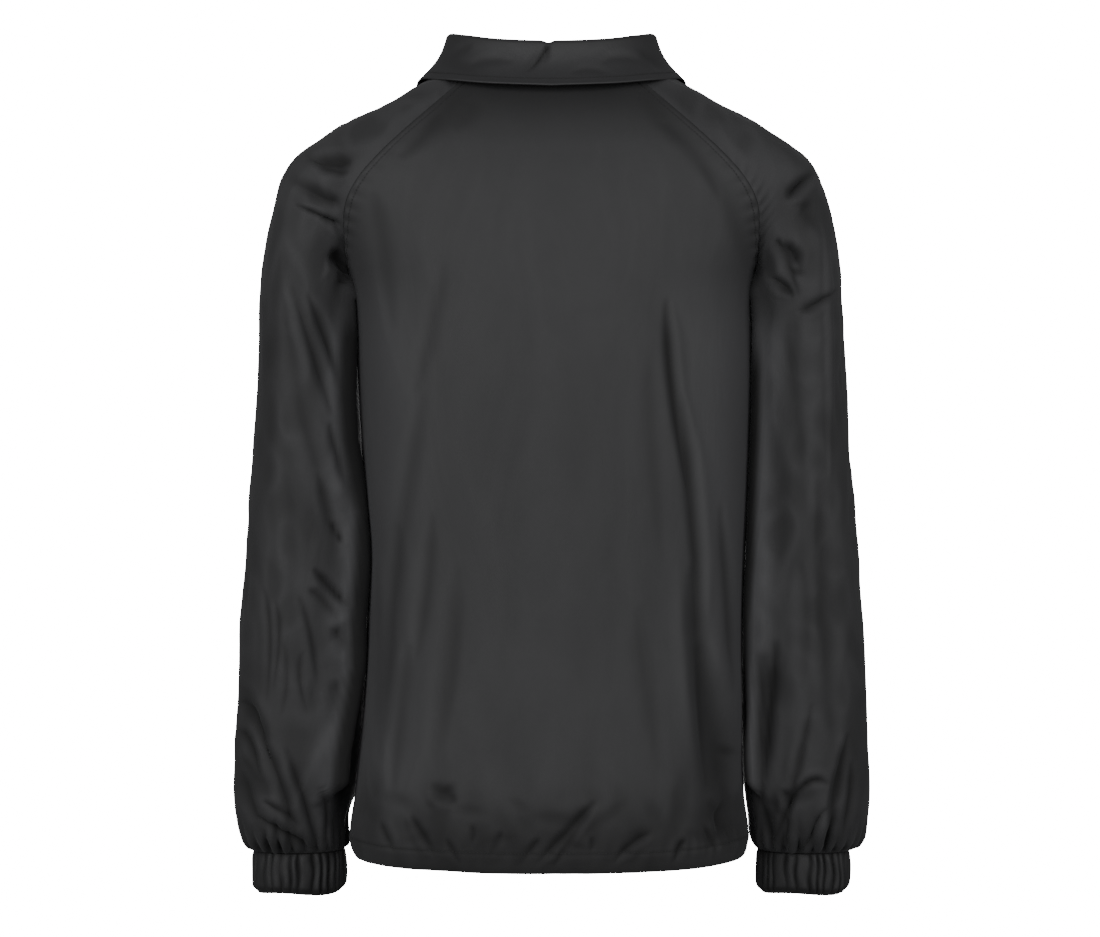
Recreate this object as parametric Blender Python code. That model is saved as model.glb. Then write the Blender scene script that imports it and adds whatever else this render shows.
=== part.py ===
"""Coach jacket in its worn shape, hollow, as thin cloth walls with snap caps.

Metres, +Z up. The front faces -Y and the wearer's left is +X. The origin is the
middle of the neck, level with the top of the shoulder seams.
"""
import math
from collections import namedtuple

import bmesh
import bpy
import numpy as np

# Cloth and seams
WALL = 0.0015
SEAM_GAP = 0.0003
SEAM_FADE = 0.022

# Heights of the garment
HEM_HEIGHT = -0.722
HEM_BAND = 0.019
HEM_BAND_RAISE = 0.0009
ARMPIT_HEIGHT = -0.195

# Front closure
OVERLAP = 0.016
OVERLAP_BLEND = 0.080
LAYER_STEP = 0.0030
SNAP_COUNT = 6
SNAP_RADIUS = 0.0075
SNAP_RISE = 0.0026
SNAP_SIDES = 16
SNAP_TOP = -0.105
SNAP_BOTTOM = -0.690

# Grid sizes: faces across and along each piece
PANEL_HALF_FACES = 10
PANEL_LOWER_ROWS = 15
CAP_ROWS = 10
SLEEVE_HALF_FACES = 10
ARM_ROWS = 17

# Torso below the armpits: half widths at the side seams and depths at the middle
TorsoRow = namedtuple("TorsoRow", "height half_left half_right back_depth front_depth")
TORSO = [
    TorsoRow(-0.722, 0.1880, 0.1830, 0.1370, 0.1310),
    TorsoRow(-0.703, 0.1890, 0.1840, 0.1420, 0.1350),
    TorsoRow(-0.665, 0.1835, 0.1800, 0.1460, 0.1370),
    TorsoRow(-0.581, 0.1755, 0.1780, 0.1410, 0.1340),
    TorsoRow(-0.506, 0.1725, 0.1790, 0.1370, 0.1310),
    TorsoRow(-0.440, 0.1706, 0.1815, 0.1370, 0.1310),
    TorsoRow(-0.393, 0.1744, 0.1840, 0.1380, 0.1310),
    TorsoRow(-0.299, 0.1800, 0.1870, 0.1400, 0.1320),
    TorsoRow(-0.233, 0.1835, 0.1880, 0.1390, 0.1320),
    TorsoRow(-0.195, 0.1860, 0.1860, 0.1370, 0.1300),
]

# Sleeve below the armpit: its outer and inner lines, half depth and middle, and the share of
# the tuck that lays its inner edge forward beside the body
ArmRow = namedtuple("ArmRow", "height outer inner_left inner_right half_depth middle_y tuck_left tuck_right")
ARM = [
    ArmRow(-0.195, 0.2688, 0.1865, 0.1865, 0.0850, 0.000, 0.00, 0.00),
    ArmRow(-0.224, 0.2708, 0.1895, 0.1920, 0.0840, 0.000, 0.75, 0.75),
    ArmRow(-0.261, 0.2728, 0.1920, 0.1915, 0.0830, -0.001, 1.00, 1.00),
    ArmRow(-0.300, 0.2750, 0.1925, 0.1910, 0.0820, -0.002, 1.00, 1.00),
    ArmRow(-0.337, 0.2770, 0.1905, 0.1900, 0.0810, -0.003, 1.00, 1.00),
    ArmRow(-0.375, 0.2802, 0.1840, 0.1885, 0.0800, -0.004, 1.00, 1.00),
    ArmRow(-0.403, 0.2832, 0.1780, 0.1875, 0.0790, -0.005, 1.00, 1.00),
    ArmRow(-0.450, 0.2868, 0.1785, 0.1860, 0.0770, -0.007, 1.00, 1.00),
    ArmRow(-0.506, 0.2910, 0.1835, 0.1820, 0.0750, -0.009, 1.00, 1.00),
    ArmRow(-0.545, 0.2932, 0.1830, 0.1808, 0.0730, -0.011, 1.00, 0.95),
    ArmRow(-0.590, 0.2962, 0.1910, 0.1805, 0.0715, -0.014, 1.00, 0.60),
    ArmRow(-0.630, 0.2985, 0.1980, 0.1808, 0.0710, -0.016, 1.00, 0.10),
    ArmRow(-0.660, 0.2993, 0.1998, 0.1822, 0.0700, -0.018, 0.95, 0.00),
    ArmRow(-0.679, 0.2985, 0.1985, 0.1846, 0.0680, -0.019, 0.70, 0.00),
    ArmRow(-0.694, 0.2965, 0.1955, 0.1866, 0.0640, -0.020, 0.20, 0.00),
    ArmRow(-0.707, 0.2935, 0.1945, 0.1880, 0.0560, -0.021, 0.00, 0.00),
    ArmRow(-0.716, 0.2902, 0.1955, 0.1905, 0.0460, -0.022, 0.00, 0.00),
    ArmRow(-0.7225, 0.2865, 0.1965, 0.1945, 0.0370, -0.022, 0.00, 0.00),
]

# Sleeve top from the neck (first row) to the armpit (last row). The ridge is the
# line over the shoulder, and the lean is how a section leaves the raglan seam.
CapRow = namedtuple("CapRow", "ridge_x ridge_z ridge_pull lean_x lean_y lean_z")
CAP = [
    CapRow(0.1010, 0.0075, 0.024, 0.010, -0.016, 0.006),
    CapRow(0.1240, -0.0050, 0.036, 0.012, -0.022, 0.018),
    CapRow(0.1520, -0.0235, 0.050, 0.015, -0.024, 0.027),
    CapRow(0.1840, -0.0405, 0.060, 0.020, -0.022, 0.034),
    CapRow(0.2125, -0.0555, 0.068, 0.027, -0.012, 0.037),
    CapRow(0.2375, -0.0740, 0.078, 0.034, 0.008, 0.036),
    CapRow(0.2520, -0.0985, 0.090, 0.034, 0.032, 0.030),
    CapRow(0.2612, -0.1297, 0.102, 0.020, 0.070, 0.016),
    CapRow(0.2675, -0.1700, 0.113, 0.000, 0.113, 0.000),
]

# Raglan seams, row for row with the sleeve top, and the panels' middle lines
SeamRow = namedtuple("SeamRow", "x y z middle_y middle_z")
BACK_SEAM = [
    SeamRow(0.0790, 0.0470, -0.0020, 0.0720, -0.0130),
    SeamRow(0.1000, 0.0790, -0.0255, 0.0930, -0.0380),
    SeamRow(0.1290, 0.0940, -0.0530, 0.1070, -0.0620),
    SeamRow(0.1540, 0.1010, -0.0775, 0.1165, -0.0850),
    SeamRow(0.1745, 0.1010, -0.1010, 0.1235, -0.1080),
    SeamRow(0.1865, 0.0920, -0.1240, 0.1285, -0.1310),
    SeamRow(0.1890, 0.0730, -0.1500, 0.1320, -0.1550),
    SeamRow(0.1880, 0.0420, -0.1770, 0.1350, -0.1790),
    SeamRow(0.1860, 0.0000, -0.1950, 0.1370, -0.1950),
]
FRONT_SEAM = [
    SeamRow(0.0840, -0.0430, -0.0180, -0.0880, -0.0780),
    SeamRow(0.0980, -0.0740, -0.0460, -0.0990, -0.0930),
    SeamRow(0.1190, -0.0900, -0.0720, -0.1075, -0.1080),
    SeamRow(0.1410, -0.0980, -0.0950, -0.1140, -0.1230),
    SeamRow(0.1620, -0.0980, -0.1170, -0.1190, -0.1380),
    SeamRow(0.1760, -0.0890, -0.1370, -0.1230, -0.1520),
    SeamRow(0.1830, -0.0690, -0.1580, -0.1260, -0.1660),
    SeamRow(0.1860, -0.0390, -0.1800, -0.1280, -0.1810),
    SeamRow(0.1860, 0.0000, -0.1950, -0.1300, -0.1950),
]
SEAM_ROWS = len(CAP) - 1

# Panel fullness: how far the cloth runs flat before it turns round the side
MIDDLE_PULL = 0.62
SIDE_PULL = 0.66
SEAM_LEAN = (-0.96, 0.28, 0.0)
TUCK_FORWARD = 0.045
TUCK_CLEARANCE = 0.0008

# Collar: fold line and leaf edge at angles round the neck, from the back to the front
CollarRow = namedtuple("CollarRow", "angle fold_x fold_y fold_z edge_x edge_y edge_z")
COLLAR = [
    CollarRow(0, 0.0000, 0.0690, 0.0222, 0.0000, 0.0905, -0.0166),
    CollarRow(30, 0.0460, 0.0600, 0.0256, 0.0580, 0.0835, -0.0135),
    CollarRow(60, 0.0790, 0.0340, 0.0340, 0.1030, 0.0550, -0.0060),
    CollarRow(90, 0.0915, 0.0000, 0.0392, 0.1245, 0.0080, -0.0010),
    CollarRow(120, 0.0820, -0.0380, 0.0260, 0.1230, -0.0450, -0.0190),
    CollarRow(150, 0.0500, -0.0690, -0.0090, 0.0990, -0.0920, -0.0620),
    CollarRow(180, 0.0030, -0.0850, -0.0450, 0.0600, -0.1200, -0.1090),
]
COLLAR_STAND_ROWS = 2
COLLAR_LEAF_ROWS = 3
COLLAR_FOLD_RADIUS = 0.0035
COLLAR_LEAF_BOW = -0.0042
COLLAR_FRONT_GAP = 0.003

# Cuffs: rings from the sleeve seam down, gathered by the elastic inside
CuffRow = namedtuple("CuffRow", "drop swell")
CUFF_ROWS = [
    CuffRow(0.000, 0.0000),
    CuffRow(0.010, 0.0018),
    CuffRow(0.026, 0.0012),
    CuffRow(0.034, -0.0018),
    CuffRow(0.040, -0.0065),
]
CUFF_TOP = -0.7228
CUFF_HALF_WIDTH = 0.0425
CUFF_HALF_DEPTH = 0.0340
CUFF_MIDDLE_X = 0.2388
CUFF_MIDDLE_Y = -0.022
CUFF_GATHERS = 24
CUFF_POINTS_PER_GATHER = 4
CUFF_GATHER_DEPTH = 0.0011
CUFF_WALL = 0.0026

# Largest folds: soft troughs given by where they start and end, seen from behind
# or from in front. x is towards the wearer's left.
Fold = namedtuple("Fold", "x_start z_start x_end z_end width depth")
BACK_FOLDS = [
    Fold(0.118, -0.270, 0.148, -0.560, 0.015, 0.0045),
    Fold(0.100, -0.400, 0.122, -0.610, 0.013, 0.0030),
    Fold(-0.104, -0.220, -0.136, -0.520, 0.014, 0.0050),
    Fold(-0.122, -0.440, -0.150, -0.700, 0.018, 0.0070),
    Fold(-0.150, -0.130, -0.172, -0.330, 0.014, 0.0040),
    Fold(0.060, -0.610, 0.088, -0.700, 0.015, 0.0035),
    Fold(-0.045, -0.650, 0.020, -0.705, 0.013, 0.0035),
]
FRONT_FOLDS = [
    Fold(0.125, -0.200, 0.105, -0.450, 0.016, 0.0045),
    Fold(0.090, -0.420, 0.130, -0.690, 0.016, 0.0045),
    Fold(-0.120, -0.220, -0.128, -0.500, 0.016, 0.0045),
    Fold(-0.075, -0.480, -0.110, -0.700, 0.016, 0.0045),
    Fold(0.060, -0.130, 0.140, -0.190, 0.014, 0.0030),
    Fold(-0.065, -0.130, -0.140, -0.195, 0.014, 0.0030),
]
SLEEVE_BACK_FOLDS = [
    Fold(0.236, -0.112, 0.190, -0.132, 0.010, 0.0050),
    Fold(0.238, -0.190, 0.200, -0.330, 0.012, 0.0040),
    Fold(0.222, -0.300, 0.192, -0.420, 0.011, 0.0040),
    Fold(0.216, -0.450, 0.186, -0.490, 0.012, 0.0050),
    Fold(0.286, -0.575, 0.226, -0.700, 0.013, 0.0060),
    Fold(0.250, -0.520, 0.235, -0.640, 0.011, 0.0030),
    Fold(-0.240, -0.080, -0.218, -0.105, 0.011, 0.0040),
    Fold(-0.228, -0.150, -0.205, -0.185, 0.014, 0.0060),
    Fold(-0.258, -0.200, -0.214, -0.255, 0.011, 0.0035),
    Fold(-0.196, -0.515, -0.192, -0.650, 0.012, 0.0060),
    Fold(-0.270, -0.610, -0.238, -0.700, 0.012, 0.0050),
    Fold(-0.252, -0.350, -0.262, -0.560, 0.012, 0.0030),
]
SLEEVE_FRONT_FOLDS = [
    Fold(0.236, -0.120, 0.196, -0.165, 0.011, 0.0050),
    Fold(0.262, -0.300, 0.205, -0.400, 0.012, 0.0050),
    Fold(0.258, -0.360, 0.200, -0.440, 0.012, 0.0050),
    Fold(0.270, -0.560, 0.225, -0.690, 0.012, 0.0045),
    Fold(-0.236, -0.115, -0.198, -0.160, 0.011, 0.0050),
    Fold(-0.262, -0.310, -0.205, -0.390, 0.012, 0.0050),
    Fold(-0.256, -0.390, -0.204, -0.450, 0.012, 0.0050),
    Fold(-0.272, -0.570, -0.222, -0.690, 0.012, 0.0045),
]


def smooth_value(positions, values, at):
    """Value of a smooth curve through a table's values, read at one position."""
    last = len(positions) - 1
    rising = positions[-1] > positions[0]
    cell = 0
    while cell < last - 1 and (at > positions[cell + 1]) == rising:
        cell += 1

    def slope(knot):
        before = max(knot - 1, 0)
        after = min(knot + 1, last)
        return (values[after] - values[before]) / (positions[after] - positions[before])

    span = positions[cell + 1] - positions[cell]
    s = (at - positions[cell]) / span
    start_weight = (1 + 2 * s) * (1 - s) ** 2
    end_weight = s * s * (3 - 2 * s)
    start_slope = s * (1 - s) ** 2 * span * slope(cell)
    end_slope = s * s * (s - 1) * span * slope(cell + 1)
    return start_weight * values[cell] + end_weight * values[cell + 1] + start_slope + end_slope


def row_at(table, at, key=None):
    """One row of a table at a height, an angle or a row number between its rows."""
    keys = list(range(len(table))) if key is None else [getattr(row, key) for row in table]
    return type(table[0])(*(smooth_value(keys, column, at) for column in zip(*table)))


def smoothstep(low, high, value):
    s = np.clip((value - low) / (high - low), 0.0, 1.0)
    return s * s * (3 - 2 * s)


def bezier(start, start_handle, end_handle, end, faces, end_gap=0.0):
    """Points of a cubic curve whose handles are given from its two ends."""
    start, end = np.array(start, float), np.array(end, float)
    first, second = start + start_handle, end + end_handle
    reach = 1.0 - end_gap / (3.0 * np.linalg.norm(end_handle))
    points = []
    for index in range(faces + 1):
        s = reach * index / faces
        r = 1.0 - s
        points.append(r ** 3 * start + 3 * r * r * s * first + 3 * r * s * s * second + s ** 3 * end)
    return points


def sides(value, side):
    """A vector with its x turned to the wearer's left (1) or right (-1)."""
    return np.array([value[0] * side, value[1], value[2]])


def cap_section(number, side):
    """One section over the shoulder, from the front raglan seam to the back one."""
    cap = row_at(CAP, number)
    ridge = sides((cap.ridge_x, 0.0, cap.ridge_z), side)
    halves = []
    for seam_table, facing in ((FRONT_SEAM, -1), (BACK_SEAM, 1)):
        seam = row_at(seam_table, number)
        ridge_handle = (0.0, facing * cap.ridge_pull, 0.0)
        lean = sides((cap.lean_x, facing * cap.lean_y, cap.lean_z), side)
        halves.append(bezier(ridge, ridge_handle, lean, sides(seam[:3], side),
                             SLEEVE_HALF_FACES, SEAM_GAP / 2))
    return halves[0][::-1] + halves[1][1:]


def arm_section(height, side, drop):
    """One ring of the sleeve, from its inner line round the front and back again."""
    arm = row_at(ARM, height, "height")
    torso = row_at(TORSO, max(height, HEM_HEIGHT), "height")
    inner_x = arm.inner_left if side > 0 else arm.inner_right
    body_x = (torso.half_left if side > 0 else torso.half_right) + TUCK_CLEARANCE
    tuck = arm.tuck_left if side > 0 else arm.tuck_right
    forward = TUCK_FORWARD * tuck
    inner_x += (body_x - inner_x) * tuck
    inner = sides((inner_x, arm.middle_y - forward, height), side)
    outer = sides((arm.outer, arm.middle_y, height + drop), side)
    halves = []
    for facing in (-1, 1):
        pull = facing * arm.half_depth * 4 / 3
        outer_handle = (0.0, pull, 0.0)
        inner_handle = (0.0, pull + forward * 4 / 3, 0.0)
        halves.append(bezier(outer, outer_handle, inner_handle, inner, SLEEVE_HALF_FACES))
    return halves[0][::-1] + halves[1][1:]


def sleeve_grid(side):
    """Sections of a sleeve from the neck to the cuff seam."""
    grid = [cap_section(SEAM_ROWS * row / CAP_ROWS, side) for row in range(CAP_ROWS)]
    cuff_seam = ARM[-1].height
    for row in range(ARM_ROWS + 1):
        share = row / ARM_ROWS
        easing = 0.25 * share + 0.75 * (1 - (1 - share) ** 1.6)
        height = ARMPIT_HEIGHT - 2 * SEAM_GAP + (cuff_seam - ARMPIT_HEIGHT) * easing
        height = max(height, cuff_seam)
        tilt = (CAP[-1].ridge_z - ARMPIT_HEIGHT) * (1 - smoothstep(0.0, 0.35, share))
        grid.append(arm_section(height, side, tilt))
    return np.array(grid)


def panel_row(middle, end, end_handle, faces, end_gap):
    """Half a row of a panel, from its middle line to its seam."""
    pull = np.array([end[0] * MIDDLE_PULL, 0.0, 0.0])
    return bezier(middle, pull, end_handle, end, faces, end_gap)


def panel_half_rows(side, facing):
    """Rows of half a panel, hem to neck, each from the middle line to the seam."""
    seam_table = BACK_SEAM if facing > 0 else FRONT_SEAM
    rows = []
    for row in range(PANEL_LOWER_ROWS + 1):
        if row == 0:
            height = HEM_HEIGHT
        else:
            share = (row - 1) / (PANEL_LOWER_ROWS - 1)
            height = HEM_HEIGHT + HEM_BAND + (ARMPIT_HEIGHT - HEM_HEIGHT - HEM_BAND) * share
        torso = row_at(TORSO, height, "height")
        depth = facing * (torso.back_depth if facing > 0 else torso.front_depth)
        half = torso.half_left if side > 0 else torso.half_right
        handle = (0.0, depth * SIDE_PULL, 0.0)
        rows.append(panel_row((0.0, depth, height), sides((half, 0.0, height), side), handle,
                              PANEL_HALF_FACES, SEAM_GAP / 2))
    for row in range(CAP_ROWS - 1, -1, -1):
        number = SEAM_ROWS * row / CAP_ROWS
        seam = row_at(seam_table, number)
        end = sides(seam[:3], side)
        armpit = smoothstep(0.40, 0.95, number / SEAM_ROWS)
        lean = sides((SEAM_LEAN[0], SEAM_LEAN[1] * facing, 0.0), side) * 0.3 * abs(end[0])
        tuck = np.array([0.0, (seam.middle_y - seam.y) * SIDE_PULL, 0.0])
        handle = lean * (1 - armpit) + tuck * armpit
        rows.append(panel_row((0.0, seam.middle_y, seam.middle_z), end, handle,
                              PANEL_HALF_FACES, SEAM_GAP / 2))
    return np.array(rows)


def grid_normals(grid, closed_from=None):
    """Outward normals of a grid, from the differences between its neighbours."""
    along = np.gradient(grid, axis=0)
    across = np.gradient(grid, axis=1)
    if closed_from is not None:
        wrap = grid[closed_from:, 1] - grid[closed_from:, -2]
        across[closed_from:, 0] = wrap
        across[closed_from:, -1] = wrap
    normal = np.cross(across, along)
    normal /= np.maximum(np.linalg.norm(normal, axis=2, keepdims=True), 1e-9)
    outward = grid - grid.mean(axis=1, keepdims=True)
    if (normal * outward).sum() < 0:
        normal = -normal
    return normal


def faded_ends(grid, axis, start=True, end=True):
    """0 at the ends of each line of a grid and 1 away from them."""
    steps = np.linalg.norm(np.diff(grid, axis=axis), axis=2)
    zero = np.zeros_like(np.take(steps, [0], axis=axis))
    run = np.concatenate([zero, np.cumsum(steps, axis=axis)], axis=axis)
    fade = np.ones(grid.shape[:2])
    if start:
        fade = fade * smoothstep(0.0, SEAM_FADE, run)
    if end:
        fade = fade * smoothstep(0.0, SEAM_FADE, np.take(run, [-1], axis=axis) - run)
    return fade


def seam_weight(grid):
    """1 inside a panel and 0 along its seams, so that neighbours keep their gap."""
    return faded_ends(grid, 1) * faded_ends(grid, 0, start=False)


def fold_depth(grid, folds):
    """How far each point sinks into the soft troughs that run near it."""
    depth = np.zeros(grid.shape[:2])
    for fold in folds:
        start = np.array([fold.x_start, fold.z_start])
        run = np.array([fold.x_end, fold.z_end]) - start
        offset = grid[..., (0, 2)] - start
        along = (offset @ run) / (run @ run)
        beside = np.abs(offset[..., 0] * run[1] - offset[..., 1] * run[0]) / np.linalg.norm(run)
        taper = smoothstep(-0.12, 0.25, along) * (1 - smoothstep(0.75, 1.12, along))
        trough = np.exp(-(beside / fold.width) ** 2)
        ridge = 0.45 * np.exp(-((beside - 2.0 * fold.width) / fold.width) ** 2)
        depth += fold.depth * taper * (trough - ridge)
    return depth


def folded(grid, folds, facing, weight, closed_from=None):
    """The grid with its folds pressed in, on the side that faces back or front."""
    normal = grid_normals(grid, closed_from)
    faces_there = smoothstep(0.1, 0.6, normal[..., 1] * facing)
    sink = fold_depth(grid, folds) * faces_there * weight
    return grid - normal * sink[..., None]


def raised_hem(grid):
    """The turned-up hem: its lowest rows stand a little proud of the panel."""
    normal = grid_normals(grid)
    lift = np.zeros(grid.shape[:2])
    lift[:2] = HEM_BAND_RAISE
    return grid + normal * lift[..., None]


def back_grid():
    left = panel_half_rows(1, 1)
    right = panel_half_rows(-1, 1)
    grid = np.concatenate([right[:, :0:-1], left], axis=1)
    grid = folded(grid, BACK_FOLDS, 1, seam_weight(grid))
    return raised_hem(grid)


def front_grid(side):
    """One front from past the middle to its side seam. The left one lies outside."""
    rows = panel_half_rows(side, -1)
    first = rows[:, :1] * np.array([-1.0, 1.0, 1.0])
    first[..., 0] = -side * OVERLAP
    grid = np.concatenate([first, rows], axis=1)
    step = LAYER_STEP / 2 * side
    near_middle = 1 - smoothstep(OVERLAP, OVERLAP_BLEND, np.abs(grid[..., 0]))
    grid = grid + grid_normals(grid) * (step * near_middle)[..., None]
    weight = seam_weight(grid)
    weight[:, :3] = 0.0
    grid = folded(grid, FRONT_FOLDS, -1, weight)
    return raised_hem(grid)


def folded_sleeve(side):
    grid = sleeve_grid(side)
    weight = faded_ends(grid, 0)
    weight[:CAP_ROWS] *= faded_ends(grid, 1)[:CAP_ROWS]
    grid = folded(grid, SLEEVE_BACK_FOLDS, 1, weight, CAP_ROWS)
    return folded(grid, SLEEVE_FRONT_FOLDS, -1, weight, CAP_ROWS)


def neck_line():
    """Points round the neck seam, from the left front end to the right front end."""
    points = []
    for side in (1, -1):
        front = panel_half_rows(side, -1)[-1]
        sleeve = cap_section(0, side)
        back = panel_half_rows(side, 1)[-1]
        start = front[0] + (front[1] - front[0]) * COLLAR_FRONT_GAP / np.linalg.norm(front[1] - front[0])
        half = [start] + list(front[1:-1])
        half += [(front[-1] + sleeve[0]) / 2] + list(sleeve[2:-1:2])
        half += [(sleeve[-1] + back[-1]) / 2] + list(back[-2::-1])
        points.append(half)
    return np.array(points[0] + points[1][-2::-1])


def neck_angle(point):
    """Angle round the neck: 0 at the middle of the back and 180 at the front."""
    return math.degrees(math.atan2(abs(point[0]), point[1]))


def collar_grid():
    """Columns round the neck. Each runs up the stand, over the fold and down the leaf."""
    columns = []
    for seam in neck_line():
        side = 1 if seam[0] >= 0 else -1
        row = row_at(COLLAR, neck_angle(seam), "angle")
        seam = seam + np.array([0.0, 0.0, 2 * SEAM_GAP])
        fold = sides((row.fold_x, row.fold_y, row.fold_z), side)
        edge = sides((row.edge_x, row.edge_y, row.edge_z), side)
        out = edge - fold
        out[2] = 0.0
        out /= np.linalg.norm(out)
        column = [seam + (fold - seam) * s / COLLAR_STAND_ROWS for s in range(COLLAR_STAND_ROWS)]
        for turn in (0, 60, 120):
            lift = math.sin(math.radians(turn)) * COLLAR_FOLD_RADIUS
            reach = (1 - math.cos(math.radians(turn))) * COLLAR_FOLD_RADIUS
            column.append(fold + out * reach + np.array([0.0, 0.0, lift]))
        leaf_start = fold + out * 2 * COLLAR_FOLD_RADIUS
        for s in range(COLLAR_LEAF_ROWS + 1):
            share = s / COLLAR_LEAF_ROWS
            bow = COLLAR_LEAF_BOW * math.sin(math.pi * share)
            column.append(leaf_start + (edge - leaf_start) * share + out * bow)
        columns.append(column)
    return np.array(columns).transpose(1, 0, 2)


def cloth_material(name, colour, roughness):
    material = bpy.data.materials.new(name)
    material.use_nodes = True
    shader = material.node_tree.nodes["Principled BSDF"]
    shader.inputs["Base Color"].default_value = (*colour, 1.0)
    shader.inputs["Roughness"].default_value = roughness
    shader.inputs["Metallic"].default_value = 0.0
    return material


def new_object(name, mesh, material):
    mesh.materials.append(material)
    mesh.shade_smooth()
    mesh.set_sharp_from_angle(angle=math.radians(60))
    thing = bpy.data.objects.new(name, mesh)
    bpy.context.collection.objects.link(thing)
    return thing


def cloth_sheet(name, grid, material, closed_from=None, inside_out=False, wall=WALL):
    """A grid of points as a cloth wall, thickened towards the inside."""
    shape = bmesh.new()
    rows = []
    for number, row in enumerate(grid):
        verts = [shape.verts.new(point) for point in row]
        if closed_from is not None and number >= closed_from:
            shape.verts.remove(verts[-1])
            verts[-1] = verts[0]
        rows.append(verts)
    for lower, upper in zip(rows, rows[1:]):
        for column in range(len(lower) - 1):
            corners = [lower[column], lower[column + 1], upper[column + 1], upper[column]]
            corners = list(dict.fromkeys(corners))
            shape.faces.new(corners[::-1] if inside_out else corners)
    mesh = bpy.data.meshes.new(name)
    shape.to_mesh(mesh)
    shape.free()
    thing = new_object(name, mesh, material)
    solidify = thing.modifiers.new("wall", "SOLIDIFY")
    solidify.thickness = wall
    solidify.offset = -1.0
    return thing


def cuff(name, side, material):
    """A gathered ring: waves round the outside over a plain inside."""
    count = CUFF_GATHERS * CUFF_POINTS_PER_GATHER
    shape = bmesh.new()
    rings = []
    for inside in (False, True):
        for row in CUFF_ROWS[::-1] if inside else CUFF_ROWS:
            ring = []
            for step in range(count):
                turn = 2 * math.pi * step / count
                swell = row.swell + CUFF_GATHER_DEPTH * math.cos(CUFF_GATHERS * turn)
                if inside:
                    swell = row.swell - CUFF_WALL
                ring.append(shape.verts.new((
                    side * (CUFF_MIDDLE_X + (CUFF_HALF_WIDTH + swell) * math.cos(turn)),
                    CUFF_MIDDLE_Y + (CUFF_HALF_DEPTH + swell) * math.sin(turn),
                    CUFF_TOP - row.drop,
                )))
            rings.append(ring)
    for first, second in zip(rings, rings[1:] + rings[:1]):
        for step in range(count):
            shape.faces.new((first[step - 1], first[step], second[step], second[step - 1]))
    bmesh.ops.recalc_face_normals(shape, faces=shape.faces)
    mesh = bpy.data.meshes.new(name)
    shape.to_mesh(mesh)
    shape.free()
    return new_object(name, mesh, material)


def snap_cap(name, place, normal, material):
    """A domed snap cap, standing just clear of the cloth it is pressed through."""
    mesh = bpy.data.meshes.new(name)
    shape = bmesh.new()
    bmesh.ops.create_cone(shape, cap_ends=True, segments=SNAP_SIDES, radius1=SNAP_RADIUS,
                          radius2=SNAP_RADIUS * 0.86, depth=SNAP_RISE)
    top_rim = [edge for edge in shape.edges if all(vert.co.z > 0 for vert in edge.verts)]
    bmesh.ops.bevel(shape, geom=top_rim, offset=SNAP_RISE * 0.45, segments=2, affect="EDGES",
                    profile=0.5)
    shape.to_mesh(mesh)
    shape.free()
    cap = new_object(name, mesh, material)
    from_z = np.array([0.0, 0.0, 1.0])
    axis = np.cross(from_z, normal)
    angle = math.acos(float(np.clip(from_z @ normal, -1, 1)))
    cap.rotation_mode = "AXIS_ANGLE"
    cap.rotation_axis_angle = (angle, *(axis / np.linalg.norm(axis)))
    cap.location = place + normal * (SNAP_RISE / 2 + SEAM_GAP)
    return cap


def snaps(front, material):
    """Snap caps evenly down the middle of the overlap, on the left front."""
    normal = grid_normals(front)
    heights = front[:, 1, 2]
    for number in range(SNAP_COUNT):
        height = SNAP_TOP + (SNAP_BOTTOM - SNAP_TOP) * number / (SNAP_COUNT - 1)
        place = np.array([np.interp(height, heights, front[:, 1, axis]) for axis in range(3)])
        facing = np.array([0.0, *(np.interp(height, heights, normal[:, 1, axis]) for axis in (1, 2))])
        snap_cap(f"snap_{number + 1}", place, facing / np.linalg.norm(facing), material)


def build():
    for thing in list(bpy.data.objects):
        bpy.data.objects.remove(thing, do_unlink=True)
    body_cloth = cloth_material("body_cloth", (0.047, 0.047, 0.050), 0.45)
    sleeve_cloth = cloth_material("sleeve_cloth", (0.040, 0.040, 0.043), 0.45)
    cuff_cloth = cloth_material("cuff_cloth", (0.024, 0.024, 0.026), 0.50)
    snap_metal = cloth_material("snap_enamel", (0.020, 0.020, 0.022), 0.30)

    cloth_sheet("back_panel", back_grid(), body_cloth, inside_out=True)
    left_front = front_grid(1)
    cloth_sheet("front_left", left_front, body_cloth)
    cloth_sheet("front_right", front_grid(-1), body_cloth, inside_out=True)
    for name, side in (("left", 1), ("right", -1)):
        cloth_sheet(f"sleeve_{name}", folded_sleeve(side), sleeve_cloth, CAP_ROWS,
                    inside_out=side > 0)
        cuff(f"cuff_{name}", side, cuff_cloth)
    cloth_sheet("collar", collar_grid(), body_cloth)
    snaps(left_front, snap_metal)


build()
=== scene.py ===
# %% [markdown]
# A coach jacket, worn and hollow
#
# The jacket is a shell of thin satin nylon: a back, two fronts that snap together, two
# raglan sleeves, a turned-down collar and two gathered cuffs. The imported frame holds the
# plain solids. Here every cloth piece is made again as a fine sheet on the same form, and
# then creased, stitched and given its finish.

# %% Load the frame
import math
from collections import namedtuple

import bpy
import numpy as np
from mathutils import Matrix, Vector, kdtree, noise


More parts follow.
